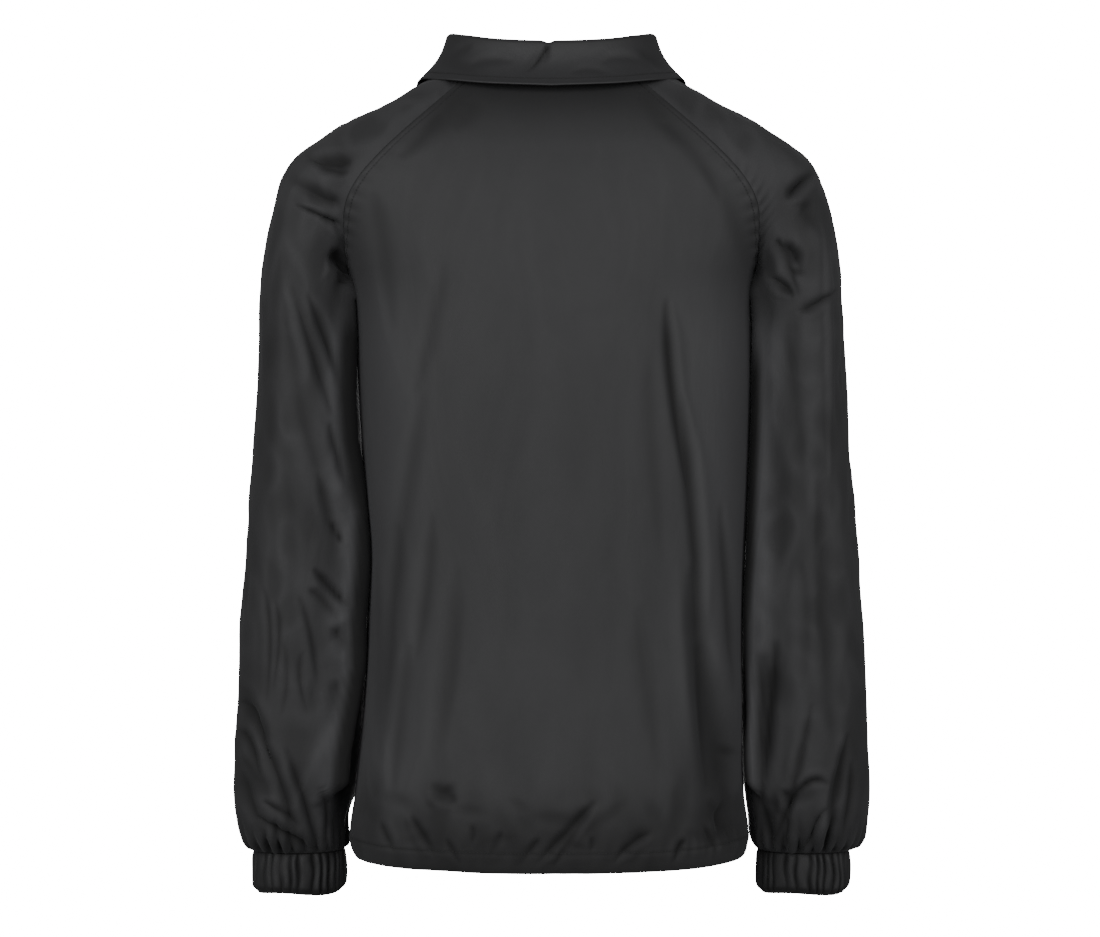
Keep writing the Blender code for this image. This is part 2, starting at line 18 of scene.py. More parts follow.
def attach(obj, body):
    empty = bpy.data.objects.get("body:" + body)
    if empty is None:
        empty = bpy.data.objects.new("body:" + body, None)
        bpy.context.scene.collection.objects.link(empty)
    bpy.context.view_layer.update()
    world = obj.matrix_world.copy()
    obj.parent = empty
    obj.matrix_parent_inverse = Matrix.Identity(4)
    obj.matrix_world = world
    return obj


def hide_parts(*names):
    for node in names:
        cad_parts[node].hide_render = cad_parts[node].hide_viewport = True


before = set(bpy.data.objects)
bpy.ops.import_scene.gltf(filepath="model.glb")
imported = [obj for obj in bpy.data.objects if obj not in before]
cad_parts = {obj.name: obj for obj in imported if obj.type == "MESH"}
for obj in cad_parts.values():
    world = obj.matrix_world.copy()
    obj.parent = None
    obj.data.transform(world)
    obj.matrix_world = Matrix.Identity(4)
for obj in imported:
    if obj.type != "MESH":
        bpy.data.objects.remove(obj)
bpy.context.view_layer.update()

print("nodes:", ", ".join(sorted(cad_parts)))

# %% [markdown]
# The view of the photograph
#
# The jacket is seen from behind, straight on, by a camera at half its height. The same
# camera is used twice: to look, and to say where on the cloth a crease lies. A crease is
# written down by its place in the picture, and the cloth under that place sinks there.

# %% Place the camera
PHOTO_WIDTH = 1100
PHOTO_HEIGHT = 937
SENSOR_WIDTH = 36.0
CAMERA_DISTANCE = 2.4
CAMERA_HEIGHT = -0.363
PIXELS_PER_METRE = 1063.8
MIDDLE_COLUMN = 551.5

camera_data = bpy.data.cameras.new("camera")
camera_data.sensor_width = SENSOR_WIDTH
focal_pixels = PIXELS_PER_METRE * CAMERA_DISTANCE
camera_data.lens = focal_pixels * SENSOR_WIDTH / PHOTO_WIDTH
camera_data.shift_x = (PHOTO_WIDTH / 2 - MIDDLE_COLUMN) / PHOTO_WIDTH
camera = bpy.data.objects.new("camera", camera_data)
bpy.context.scene.collection.objects.link(camera)
camera.location = (0.0, CAMERA_DISTANCE, CAMERA_HEIGHT)
camera.rotation_euler = (math.radians(90), 0.0, math.radians(180))
bpy.context.scene.camera = camera
print(f"lens {camera_data.lens:.1f} mm at {CAMERA_DISTANCE} m")

# %% [markdown]
# Sizes of the cut
#
# These are the sizes of the frame's own solids, in metres, but for the hem, which the
# casing draws in by about 2 mm here. A row of a table is one level of the body, the sleeve
# or the collar, and smooth curves run through the rows. Left and right are the wearer's.

# %% Sizes
SEAM_GAP = 0.0003
TURN_IN = 0.018
TURN_ROUND = 0.0007
HEM_HEIGHT = -0.722
HEM_BAND = 0.019
ARMPIT_HEIGHT = -0.195
OVERLAP = 0.016
OVERLAP_BLEND = 0.080
LAYER_STEP = 0.0030
SEAM_FADE = 0.016

TorsoRow = namedtuple("TorsoRow", "height half_left half_right back_depth front_depth")
TORSO = [
    TorsoRow(-0.722, 0.1855, 0.1808, 0.1370, 0.1310),
    TorsoRow(-0.703, 0.1890, 0.1840, 0.1420, 0.1350),
    TorsoRow(-0.665, 0.1835, 0.1800, 0.1460, 0.1370),
    TorsoRow(-0.581, 0.1755, 0.1780, 0.1410, 0.1340),
    TorsoRow(-0.506, 0.1725, 0.1790, 0.1370, 0.1310),
    TorsoRow(-0.440, 0.1706, 0.1815, 0.1370, 0.1310),
    TorsoRow(-0.393, 0.1744, 0.1840, 0.1380, 0.1310),
    TorsoRow(-0.299, 0.1800, 0.1870, 0.1400, 0.1320),
    TorsoRow(-0.233, 0.1835, 0.1880, 0.1390, 0.1320),
    TorsoRow(-0.195, 0.1860, 0.1860, 0.1370, 0.1300),
]
ArmRow = namedtuple("ArmRow", "height outer inner_left inner_right half_depth middle_y"
                    " tuck_left tuck_right")
ARM = [
    ArmRow(-0.195, 0.2688, 0.1865, 0.1865, 0.0850, 0.000, 0.00, 0.00),
    ArmRow(-0.224, 0.2708, 0.1895, 0.1920, 0.0840, 0.000, 0.75, 0.75),
    ArmRow(-0.261, 0.2728, 0.1920, 0.1915, 0.0830, -0.001, 1.00, 1.00),
    ArmRow(-0.300, 0.2750, 0.1925, 0.1910, 0.0820, -0.002, 1.00, 1.00),
    ArmRow(-0.337, 0.2770, 0.1905, 0.1900, 0.0810, -0.003, 1.00, 1.00),
    ArmRow(-0.375, 0.2802, 0.1840, 0.1885, 0.0800, -0.004, 1.00, 1.00),
    ArmRow(-0.403, 0.2832, 0.1780, 0.1875, 0.0790, -0.005, 1.00, 1.00),
    ArmRow(-0.450, 0.2868, 0.1785, 0.1860, 0.0770, -0.007, 1.00, 1.00),
    ArmRow(-0.506, 0.2910, 0.1835, 0.1820, 0.0750, -0.009, 1.00, 1.00),
    ArmRow(-0.545, 0.2932, 0.1830, 0.1808, 0.0730, -0.011, 1.00, 0.95),
    ArmRow(-0.590, 0.2962, 0.1910, 0.1805, 0.0715, -0.014, 1.00, 0.60),
    ArmRow(-0.630, 0.2985, 0.1980, 0.1808, 0.0710, -0.016, 1.00, 0.10),
    ArmRow(-0.660, 0.2993, 0.1998, 0.1822, 0.0700, -0.018, 0.95, 0.00),
    ArmRow(-0.679, 0.2985, 0.1985, 0.1846, 0.0680, -0.019, 0.70, 0.00),
    ArmRow(-0.694, 0.2965, 0.1955, 0.1866, 0.0640, -0.020, 0.20, 0.00),
    ArmRow(-0.707, 0.2935, 0.1945, 0.1880, 0.0560, -0.021, 0.00, 0.00),
    ArmRow(-0.716, 0.2902, 0.1955, 0.1905, 0.0460, -0.022, 0.00, 0.00),
    ArmRow(-0.7225, 0.2865, 0.1965, 0.1945, 0.0370, -0.022, 0.00, 0.00),
]
CapRow = namedtuple("CapRow", "ridge_x ridge_z ridge_pull lean_x lean_y lean_z")
CAP = [
    CapRow(0.1010, 0.0075, 0.024, 0.010, -0.016, 0.006),
    CapRow(0.1240, -0.0050, 0.036, 0.012, -0.022, 0.018),
    CapRow(0.1520, -0.0235, 0.050, 0.015, -0.024, 0.027),
    CapRow(0.1840, -0.0405, 0.060, 0.020, -0.022, 0.034),
    CapRow(0.2125, -0.0555, 0.068, 0.027, -0.012, 0.037),
    CapRow(0.2375, -0.0740, 0.078, 0.034, 0.008, 0.036),
    CapRow(0.2520, -0.0985, 0.090, 0.034, 0.032, 0.030),
    CapRow(0.2612, -0.1297, 0.102, 0.020, 0.070, 0.016),
    CapRow(0.2675, -0.1700, 0.113, 0.000, 0.113, 0.000),
]
SeamRow = namedtuple("SeamRow", "x y z middle_y middle_z")
BACK_SEAM = [
    SeamRow(0.0790, 0.0470, -0.0020, 0.0720, -0.0130),
    SeamRow(0.1000, 0.0790, -0.0255, 0.0930, -0.0380),
    SeamRow(0.1290, 0.0940, -0.0530, 0.1070, -0.0620),
    SeamRow(0.1540, 0.1010, -0.0775, 0.1165, -0.0850),
    SeamRow(0.1745, 0.1010, -0.1010, 0.1235, -0.1080),
    SeamRow(0.1865, 0.0920, -0.1240, 0.1285, -0.1310),
    SeamRow(0.1890, 0.0730, -0.1500, 0.1320, -0.1550),
    SeamRow(0.1880, 0.0420, -0.1770, 0.1350, -0.1790),
    SeamRow(0.1860, 0.0000, -0.1950, 0.1370, -0.1950),
]
FRONT_SEAM = [
    SeamRow(0.0840, -0.0430, -0.0180, -0.0880, -0.0780),
    SeamRow(0.0980, -0.0740, -0.0460, -0.0990, -0.0930),
    SeamRow(0.1190, -0.0900, -0.0720, -0.1075, -0.1080),
    SeamRow(0.1410, -0.0980, -0.0950, -0.1140, -0.1230),
    SeamRow(0.1620, -0.0980, -0.1170, -0.1190, -0.1380),
    SeamRow(0.1760, -0.0890, -0.1370, -0.1230, -0.1520),
    SeamRow(0.1830, -0.0690, -0.1580, -0.1260, -0.1660),
    SeamRow(0.1860, -0.0390, -0.1800, -0.1280, -0.1810),
    SeamRow(0.1860, 0.0000, -0.1950, -0.1300, -0.1950),
]
SEAM_ROWS = len(CAP) - 1
MIDDLE_PULL = 0.62
SIDE_PULL = 0.66
SEAM_LEAN = (-0.96, 0.28)
TUCK_FORWARD = 0.045
TUCK_CLEARANCE = 0.0008
print(f"torso {len(TORSO)} levels, sleeve {len(CAP) + len(ARM)} levels")

# %% [markdown]
# Smooth curves through short tables
#
# Cloth has no corners where nobody folded it, so the values between two rows follow a
# cubic curve, and every row of cloth is itself one cubic curve between two seams. It
# leaves each seam in a stated direction, which is what makes the shoulder round.

# %% Curves
def smooth_value(positions, values, at):
    """Value of a smooth curve through a table's values, read at one position."""
    last = len(positions) - 1
    rising = positions[-1] > positions[0]
    cell = 0
    while cell < last - 1 and (at > positions[cell + 1]) == rising:
        cell += 1

    def slope(knot):
        before = max(knot - 1, 0)
        after = min(knot + 1, last)
        return (values[after] - values[before]) / (positions[after] - positions[before])

    span = positions[cell + 1] - positions[cell]
    s = (at - positions[cell]) / span
    blend = (1 + 2 * s) * (1 - s) ** 2 * values[cell] + s * s * (3 - 2 * s) * values[cell + 1]
    return blend + span * s * (1 - s) * ((1 - s) * slope(cell) - s * slope(cell + 1))


def row_at(table, at, key=None):
    """One row of a table at a height, an angle or a row number between its rows."""
    keys = list(range(len(table))) if key is None else [getattr(row, key) for row in table]
    return type(table[0])(*(smooth_value(keys, column, at) for column in zip(*table)))


def smoothstep(low, high, value):
    s = np.clip((value - low) / (high - low), 0.0, 1.0)
    return s * s * (3 - 2 * s)


def bezier(start, start_handle, end_handle, end, faces, end_gap=0.0):
    """Points of a cubic curve whose handles are given from its two ends."""
    start, end = np.array(start, float), np.array(end, float)
    reach = 1.0 - end_gap / (3.0 * np.linalg.norm(end_handle))
    s = np.linspace(0.0, reach, faces + 1)[:, None]
    r = 1.0 - s
    first, second = start + start_handle, end + end_handle
    return r ** 3 * start + 3 * r * r * s * first + 3 * r * s * s * second + s ** 3 * end


def sides(value, side):
    """A vector with its x turned to the wearer's left (1) or right (-1)."""
    return np.array([value[0] * side, value[1], value[2]])


print("curve through the armpit:", row_at(ARM, -0.21, "height"))

# %% [markdown]
# The sleeve's form
#
# A raglan sleeve runs up to the neck. Above the armpit its sections are arcs from the
# front seam over the shoulder to the back seam, and below it they are closed rings.

# %% Sleeve sections
SLEEVE_HALF_FACES = 100
CAP_ROWS = 128
ARM_ROWS = 290


def cap_section(number, side, faces):
    cap = row_at(CAP, number)
    ridge = sides((cap.ridge_x, 0.0, cap.ridge_z), side)
    halves = []
    for seam_table, facing in ((FRONT_SEAM, -1), (BACK_SEAM, 1)):
        seam = row_at(seam_table, number)
        ridge_handle = (0.0, facing * cap.ridge_pull, 0.0)
        lean = sides((cap.lean_x, facing * cap.lean_y, cap.lean_z), side)
        halves.append(bezier(ridge, ridge_handle, lean, sides(seam[:3], side), faces, SEAM_GAP / 2))
    return np.concatenate([halves[0][::-1], halves[1][1:]])


def arm_section(height, side, drop):
    arm = row_at(ARM, height, "height")
    torso = row_at(TORSO, max(height, HEM_HEIGHT), "height")
    inner_x = arm.inner_left if side > 0 else arm.inner_right
    body_x = (torso.half_left if side > 0 else torso.half_right) + TUCK_CLEARANCE
    tuck = arm.tuck_left if side > 0 else arm.tuck_right
    forward = TUCK_FORWARD * tuck
    inner_x += (body_x - inner_x) * tuck
    inner = sides((inner_x, arm.middle_y - forward, height), side)
    outer = sides((arm.outer, arm.middle_y, height + drop), side)
    halves = []
    for facing in (-1, 1):
        pull = facing * arm.half_depth * 4 / 3
        outer_handle = (0.0, pull, 0.0)
        inner_handle = (0.0, pull + forward * 4 / 3, 0.0)
        halves.append(bezier(outer, outer_handle, inner_handle, inner, SLEEVE_HALF_FACES))
    return np.concatenate([halves[0][::-1], halves[1][1:]])


def sleeve_grid(side):
    grid = [cap_section(SEAM_ROWS * row / CAP_ROWS, side, SLEEVE_HALF_FACES)
            for row in range(CAP_ROWS)]
    top = ARMPIT_HEIGHT - 2 * SEAM_GAP
    cuff_seam = ARM[-1].height
    for row in range(ARM_ROWS + 1):
        share = row / ARM_ROWS
        height = max(top + (cuff_seam - top) * share, cuff_seam)
        tilt = (CAP[-1].ridge_z - ARMPIT_HEIGHT) * (1 - smoothstep(0.0, 0.35, share))
        grid.append(arm_section(height, side, tilt))
    return np.array(grid)


print("sleeve grid", sleeve_grid(1).shape)

# %% [markdown]
# The body's form
#
# The back is one piece and the front is two. A row starts at the panel's middle line and
# ends on the side seam, or higher up on the raglan seam. The fronts run past the middle,
# so that the left one can lap over the right one and snap shut.

# %% Panel rows
PANEL_HALF_FACES = 140
PANEL_LOWER_ROWS = 200
ARMPIT_EASE = 14


def panel_half_rows(side, facing, faces=PANEL_HALF_FACES):
    """Rows of half a panel, hem to neck, each from the middle line to the seam."""
    rows = []
    for row in range(PANEL_LOWER_ROWS + 1):
        height = HEM_HEIGHT + (ARMPIT_HEIGHT - HEM_HEIGHT) * row / PANEL_LOWER_ROWS
        torso = row_at(TORSO, height, "height")
        depth = facing * (torso.back_depth if facing > 0 else torso.front_depth)
        half = torso.half_left if side > 0 else torso.half_right
        rows.append(bezier((0.0, depth, height), (side * half * MIDDLE_PULL, 0.0, 0.0),
                           (0.0, depth * SIDE_PULL, 0.0), sides((half, 0.0, height), side),
                           faces, SEAM_GAP / 2))
    for row in range(CAP_ROWS - 1, -1, -1):
        number = SEAM_ROWS * row / CAP_ROWS
        seam = row_at(BACK_SEAM if facing > 0 else FRONT_SEAM, number)
        armpit = smoothstep(0.40, 0.95, number / SEAM_ROWS)
        lean = sides((SEAM_LEAN[0], SEAM_LEAN[1] * facing, 0.0), side) * 0.3 * seam.x
        tuck = np.array([0.0, (seam.middle_y - seam.y) * SIDE_PULL, 0.0])
        rows.append(bezier((0.0, seam.middle_y, seam.middle_z),
                           (side * seam.x * MIDDLE_PULL, 0.0, 0.0),
                           lean * (1 - armpit) + tuck * armpit, sides(seam[:3], side),
                           faces, SEAM_GAP / 2))
    return np.array(rows)


def eased_rows(grid, row, spread, ends):
    """The grid with the rows near one row blurred together, so that no edge is left there."""
    reach = np.arange(-2 * spread, 2 * spread + 1)
    shares = np.exp(-(reach / spread) ** 2)
    shares = shares / shares.sum()
    first, last = row - 3 * spread, row + 3 * spread
    blurred = sum(share * grid[first + step:last + step] for share, step in zip(shares, reach))
    near = 1 - smoothstep(1.2 * spread, 3 * spread, np.abs(np.arange(first, last) - row))
    column = np.linspace(0, 1, grid.shape[1])
    inside = smoothstep(0, ends, column) * (1 - smoothstep(1 - ends, 1, column))
    mix = (near[:, None] * inside[None, :])[..., None]
    eased = grid.copy()
    eased[first:last] += (blurred - grid[first:last]) * mix
    return eased


def back_form():
    right = panel_half_rows(-1, 1)
    grid = np.concatenate([right[:, :0:-1], panel_half_rows(1, 1)], axis=1)
    return eased_rows(grid, PANEL_LOWER_ROWS, ARMPIT_EASE, 0.06)


def front_form(side):
    rows = panel_half_rows(side, -1)
    lap = np.linspace(-OVERLAP, 0.0, 11)[:-1]
    past = np.repeat(rows[:, :1], len(lap), axis=1)
    past[..., 0] = side * lap
    grid = eased_rows(np.concatenate([past, rows], axis=1), PANEL_LOWER_ROWS, ARMPIT_EASE, 0.06)
    near_middle = 1 - smoothstep(OVERLAP, OVERLAP_BLEND, np.abs(grid[..., 0]))
    return grid + normals(grid) * (LAYER_STEP / 2 * side * near_middle)[..., None]


def normals(grid, closed_from=None):
    """Outward normals of a grid, from the differences between its neighbours."""
    along = np.gradient(grid, axis=0)
    across = np.gradient(grid, axis=1)
    if closed_from is not None:
        wrap = grid[closed_from:, 1] - grid[closed_from:, -2]
        across[closed_from:, 0] = wrap
        across[closed_from:, -1] = wrap
    normal = np.cross(across, along)
    normal /= np.maximum(np.linalg.norm(normal, axis=2, keepdims=True), 1e-12)
    outward = grid - grid.mean(axis=1, keepdims=True)
    return -normal if (normal * outward).sum() < 0 else normal


print("back grid", back_form().shape, "front grid", front_form(1).shape)

# %% [markdown]
# Creases, drawn where the picture shows them
#
# A crease is a short curve with a start, a bend and an end, in picture pixels, and with a
# width in pixels and a depth in millimetres. The cloth sinks along it, and swells a little
# on the side that lean names, because the cloth that leaves a trough has to go somewhere.
# A negative depth is a ridge. Steep troughs see little light, so how deep in a trough a
# point lies is kept too, as painted shade, and the cloth's material darkens it there. A dent is
# a broader hollow with a turned oval shape and its own painted shade: its turn is in degrees,
# clockwise in the picture.

# %% How a crease presses the cloth
Crease = namedtuple("Crease", "x0 y0 xm ym x1 y1 width depth lean")
Dent = namedtuple("Dent", "x y half_long half_short turn depth shade")
CREASE_STEPS = 20
SWELL = 0.30
PAINTED_SHADE_GAIN = 1.25


def picture(grid, facing):
    """Where the camera, or one in front of the jacket at the same place, sees each point."""
    scale = focal_pixels / (CAMERA_DISTANCE - facing * grid[..., 1])
    across = MIDDLE_COLUMN - facing * grid[..., 0] * scale
    down = PHOTO_HEIGHT / 2 - (grid[..., 2] - CAMERA_HEIGHT) * scale
    return np.stack([across, down], axis=-1)


def crease_sink(places, crease):
    """Depth in metres that one crease presses into points of the picture, and its painted shade."""
    start, end = np.array(crease[:2], float), np.array(crease[4:6], float)
    bend = 2 * np.array(crease[2:4], float) - (start + end) / 2
    t = np.linspace(0, 1, CREASE_STEPS + 1)[:, None]
    path = (1 - t) ** 2 * start + 2 * t * (1 - t) * bend + t * t * end
    reach = 3.2 * crease.width
    low, high = path.min(axis=0) - reach, path.max(axis=0) + reach
    sink = np.zeros(places.shape[:2])
    painted_shade = np.zeros(places.shape[:2])
    near = ((places > low) & (places < high)).all(axis=-1)
    if not near.any():
        return sink, painted_shade
    point = places[near]
    best = np.full(len(point), 1e9)
    share = np.zeros(len(point))
    beside = np.zeros(len(point))
    for step, (a, b) in enumerate(zip(path, path[1:])):
        run = b - a
        along = np.clip(((point - a) @ run) / (run @ run), 0, 1)
        offset = point - a - along[:, None] * run
        distance = np.hypot(*offset.T)
        closer = distance < best
        best[closer] = distance[closer]
        share[closer] = (step + along[closer]) / CREASE_STEPS
        beside[closer] = (np.sign(run[0] * offset[:, 1] - run[1] * offset[:, 0]) * distance)[closer]
    taper = smoothstep(0.0, 0.30, share) * (1 - smoothstep(0.62, 1.0, share))
    width = crease.width * (0.55 + 0.45 * taper)
    trough = np.exp(-(beside / width) ** 2)
    swell = np.exp(-((beside - crease.lean * 1.7 * width) / width) ** 2)
    ends = smoothstep(0.0, 0.08, share) * (1 - smoothstep(0.92, 1.0, share))
    strength = 0.25 * ends + 0.75 * taper
    sink[near] = crease.depth / 1000 * strength * (trough - SWELL * swell)
    steep = min(1.0, PAINTED_SHADE_GAIN * crease.depth / crease.width)
    painted_shade[near] = max(steep, 0.0) * strength * np.exp(-(beside / (0.85 * width)) ** 2)
    return sink, painted_shade


def dent_sink(places, dent):
    """Depth in metres of one dent at points of the picture, and its painted shade."""
    turn = math.radians(dent.turn)
    right, down = places[..., 0] - dent.x, places[..., 1] - dent.y
    along = (right * math.cos(turn) + down * math.sin(turn)) / dent.half_long
    beside = (down * math.cos(turn) - right * math.sin(turn)) / dent.half_short
    inside = np.exp(-(along ** 2 + beside ** 2) ** 1.4)
    return dent.depth / 1000 * inside, dent.shade * inside


def creased(grid, creases, dents, facing, weight, closed_from=None):
    """A grid with its creases and dents pressed in on its back or front, and their painted shade."""
    normal = normals(grid, closed_from)
    there = smoothstep(0.0, 0.45, normal[..., 1] * facing) * weight
    places = picture(grid, facing)
    pressed = [crease_sink(places, crease) for crease in creases]
    pressed += [dent_sink(places, dent) for dent in dents]
    sinks, painted_shades = zip(*pressed)
    open_share = np.prod([1 - painted_shade for painted_shade in painted_shades], axis=0)
    return grid - normal * (sum(sinks) * there)[..., None], (1 - open_share) * there


# %% [markdown]
# Small crumples
#
# Thin nylon never lies quite smooth. A ridged noise, stretched along the pull of the
# cloth, gives the small dents between the drawn creases. It is part of the mesh, not of
# the material, so that it also shows on the edges. Its dips also get painted shade.

# %% Crumples and seam fading
def faded_ends(grid, axis, start=True, end=True, reach=SEAM_FADE):
    """0 at the ends of each line of a grid and 1 away from them."""
    steps = np.linalg.norm(np.diff(grid, axis=axis), axis=2)
    zero = np.zeros_like(np.take(steps, [0], axis=axis))
    run = np.concatenate([zero, np.cumsum(steps, axis=axis)], axis=axis)
    fade = np.ones(grid.shape[:2])
    if start:
        fade = fade * smoothstep(0.0, reach, run)
    if end:
        fade = fade * smoothstep(0.0, reach, np.take(run, [-1], axis=axis) - run)
    return fade


Crumple = namedtuple("Crumple", "size stretch depth shade")


def crumple(grid, weight, kind, seed, closed_from=None):
    """Moves points along their normals by a seeded ridged noise, and gives the painted shade of its
    dips.
    """
    normal = normals(grid, closed_from)
    across, along = 1 / kind.size, 1 / (kind.size * kind.stretch)
    flat = grid.reshape(-1, 3)
    values = [noise.noise(Vector((x * across + seed, y * across, z * along))) for x, y, z in flat]
    dips = np.abs(np.array(values)).reshape(grid.shape[:2])
    dark = kind.shade * weight * smoothstep(0.05, 0.60, dips)
    return grid + normal * ((0.5 - dips) * kind.depth * weight)[..., None], dark


# %% [markdown]
# The creases themselves
#
# The back hangs almost smooth: a few long soft folds fall from the shoulder blades, and
# the casing at the hem pulls short diagonal puckers. The sleeves are looser. They carry
# drag folds into the elbow, a deep tuck at the back of each armhole and a fan of folds
# where the cuff draws them in.

# %% Creases on the back
BACK_CREASES = [
    Crease(424, 385, 404, 500, 384, 645, 9, 1.6, -1),
    Crease(432, 510, 425, 590, 414, 665, 7, 1.6, 1),
    Crease(396, 520, 392, 620, 382, 745, 8, 2.0, -1),
    Crease(376, 560, 377, 660, 380, 770, 7, 1.4, 1),
    Crease(458, 560, 447, 660, 430, 770, 10, 1.8, 1),
    Crease(410, 640, 398, 710, 392, 800, 8, 1.8, 1),
    Crease(445, 260, 430, 330, 412, 400, 8, 1.2, -1),
    Crease(667, 294, 673, 390, 692, 500, 5.5, 4.0, -1),
    Crease(680, 390, 694, 520, 702, 640, 7, 4.2, -1),
    Crease(692, 560, 704, 680, 712, 800, 10, 5.5, 1),
    Crease(700, 640, 722, 740, 738, 838, 14, 6.5, -1),
    Crease(720, 500, 728, 600, 733, 700, 6, 2.6, -1),
    Crease(650, 340, 654, 450, 664, 570, 8, 1.3, -1),
    Crease(640, 600, 650, 690, 664, 780, 10, 1.6, 1),
    Crease(520, 430, 512, 560, 505, 700, 16, 1.0, 1),
    Crease(575, 300, 580, 420, 590, 560, 16, 0.8, -1),
    Crease(700, 160, 735, 215, 750, 300, 9, 1.6, 1),
    Crease(660, 120, 695, 150, 722, 200, 8, 1.6, 1),
    Crease(372, 190, 380, 245, 392, 335, 9, 1.4, -1),
    Crease(440, 100, 425, 130, 396, 158, 8, 2.2, -1),
    Crease(475, 95, 470, 112, 452, 128, 10, 2.0, 1),
    Crease(712, 800, 728, 824, 740, 846, 8, 3.2, 1),
]
HEM_CREASES = [
    Crease(410, 815, 421, 834, 434, 856, 4, 2.9, 1),
    Crease(428, 786, 443, 794, 458, 805, 7, 3.2, 1),
    Crease(597, 800, 568, 832, 534, 866, 5, 4.9, -1),
    Crease(582, 826, 566, 846, 552, 868, 4, 2.3, 1),
    Crease(652, 834, 632, 844, 612, 864, 4, 3.5, -1),
    Crease(686, 838, 679, 848, 672, 862, 3.5, 2.6, 1),
    Crease(470, 824, 473, 834, 470, 846, 3, 1.7, 1),
    Crease(502, 830, 497, 842, 488, 860, 3.5, 1.7, -1),
    Crease(590, 836, 592, 844, 590, 852, 3, 1.7, 1),
    Crease(380, 820, 386, 834, 396, 852, 4, 2.0, -1),
    Crease(704, 826, 712, 838, 716, 852, 4, 2.3, 1),
    Crease(540, 838, 532, 848, 520, 864, 3.5, 1.9, 1),
    Crease(446, 838, 452, 850, 462, 864, 3, 1.6, -1),
    Crease(730, 800, 724, 822, 722, 845, 5, 2.9, 1),
]
BACK_DENTS = [
    Dent(716, 776, 74, 22, 84, 4.0, 0.50),
    Dent(728, 822, 30, 20, 150, 2.0, 0.40),
    Dent(732, 751, 7, 5, 30, 0.8, 0.60),
    Dent(446, 791, 9, 5, 150, 1.6, 0.42),
    Dent(437, 797, 8, 4.5, 20, 1.2, 0.38),
    Dent(430, 804, 6, 5, 70, 1.0, 0.36),
    Dent(452, 799, 5, 4, 100, 0.8, 0.30),
    Dent(410, 828, 9, 5, 60, 1.2, 0.40),
    Dent(372, 812, 34, 9, 96, 1.5, 0.30),
    Dent(450, 112, 26, 12, 130, 1.5, 0.30),
    Dent(662, 118, 26, 10, 50, 1.2, 0.20),
    Dent(690, 640, 90, 7, 86, 1.0, 0.22),
    Dent(556, 820, 20, 7, 8, 1.0, 0.25),
    Dent(640, 834, 16, 6, 165, 0.8, 0.30),
    Dent(395, 800, 14, 7, 20, 1.2, 0.22),
    Dent(417, 838, 12, 5, 160, 1.0, 0.30),
    Dent(470, 812, 16, 6, 10, 1.0, 0.22),
    Dent(500, 840, 14, 5, 170, 0.8, 0.28),
    Dent(520, 806, 12, 5, 30, 0.8, 0.18),
    Dent(576, 846, 10, 4, 20, 0.8, 0.34),
    Dent(610, 816, 18, 6, 140, 1.0, 0.22),
    Dent(655, 816, 16, 8, 60, 1.2, 0.26),
    Dent(682, 798, 24, 10, 100, 1.5, 0.28),
    Dent(702, 838, 14, 6, 20, 1.0, 0.32),
    Dent(386, 640, 60, 6, 92, 0.8, 0.14),
    Dent(448, 690, 70, 7, 98, 0.8, 0.12),
]
print(len(BACK_CREASES), "creases on the back,", len(HEM_CREASES), "at its hem,",
      len(BACK_DENTS), "dents")

# %% [markdown]
# The sleeves' creases, seen from behind
#
# Each armhole has its own tucks, and the two sleeves differ: the left one has long drag
# folds above the elbow, and the right one a deep fold beside the body below it.

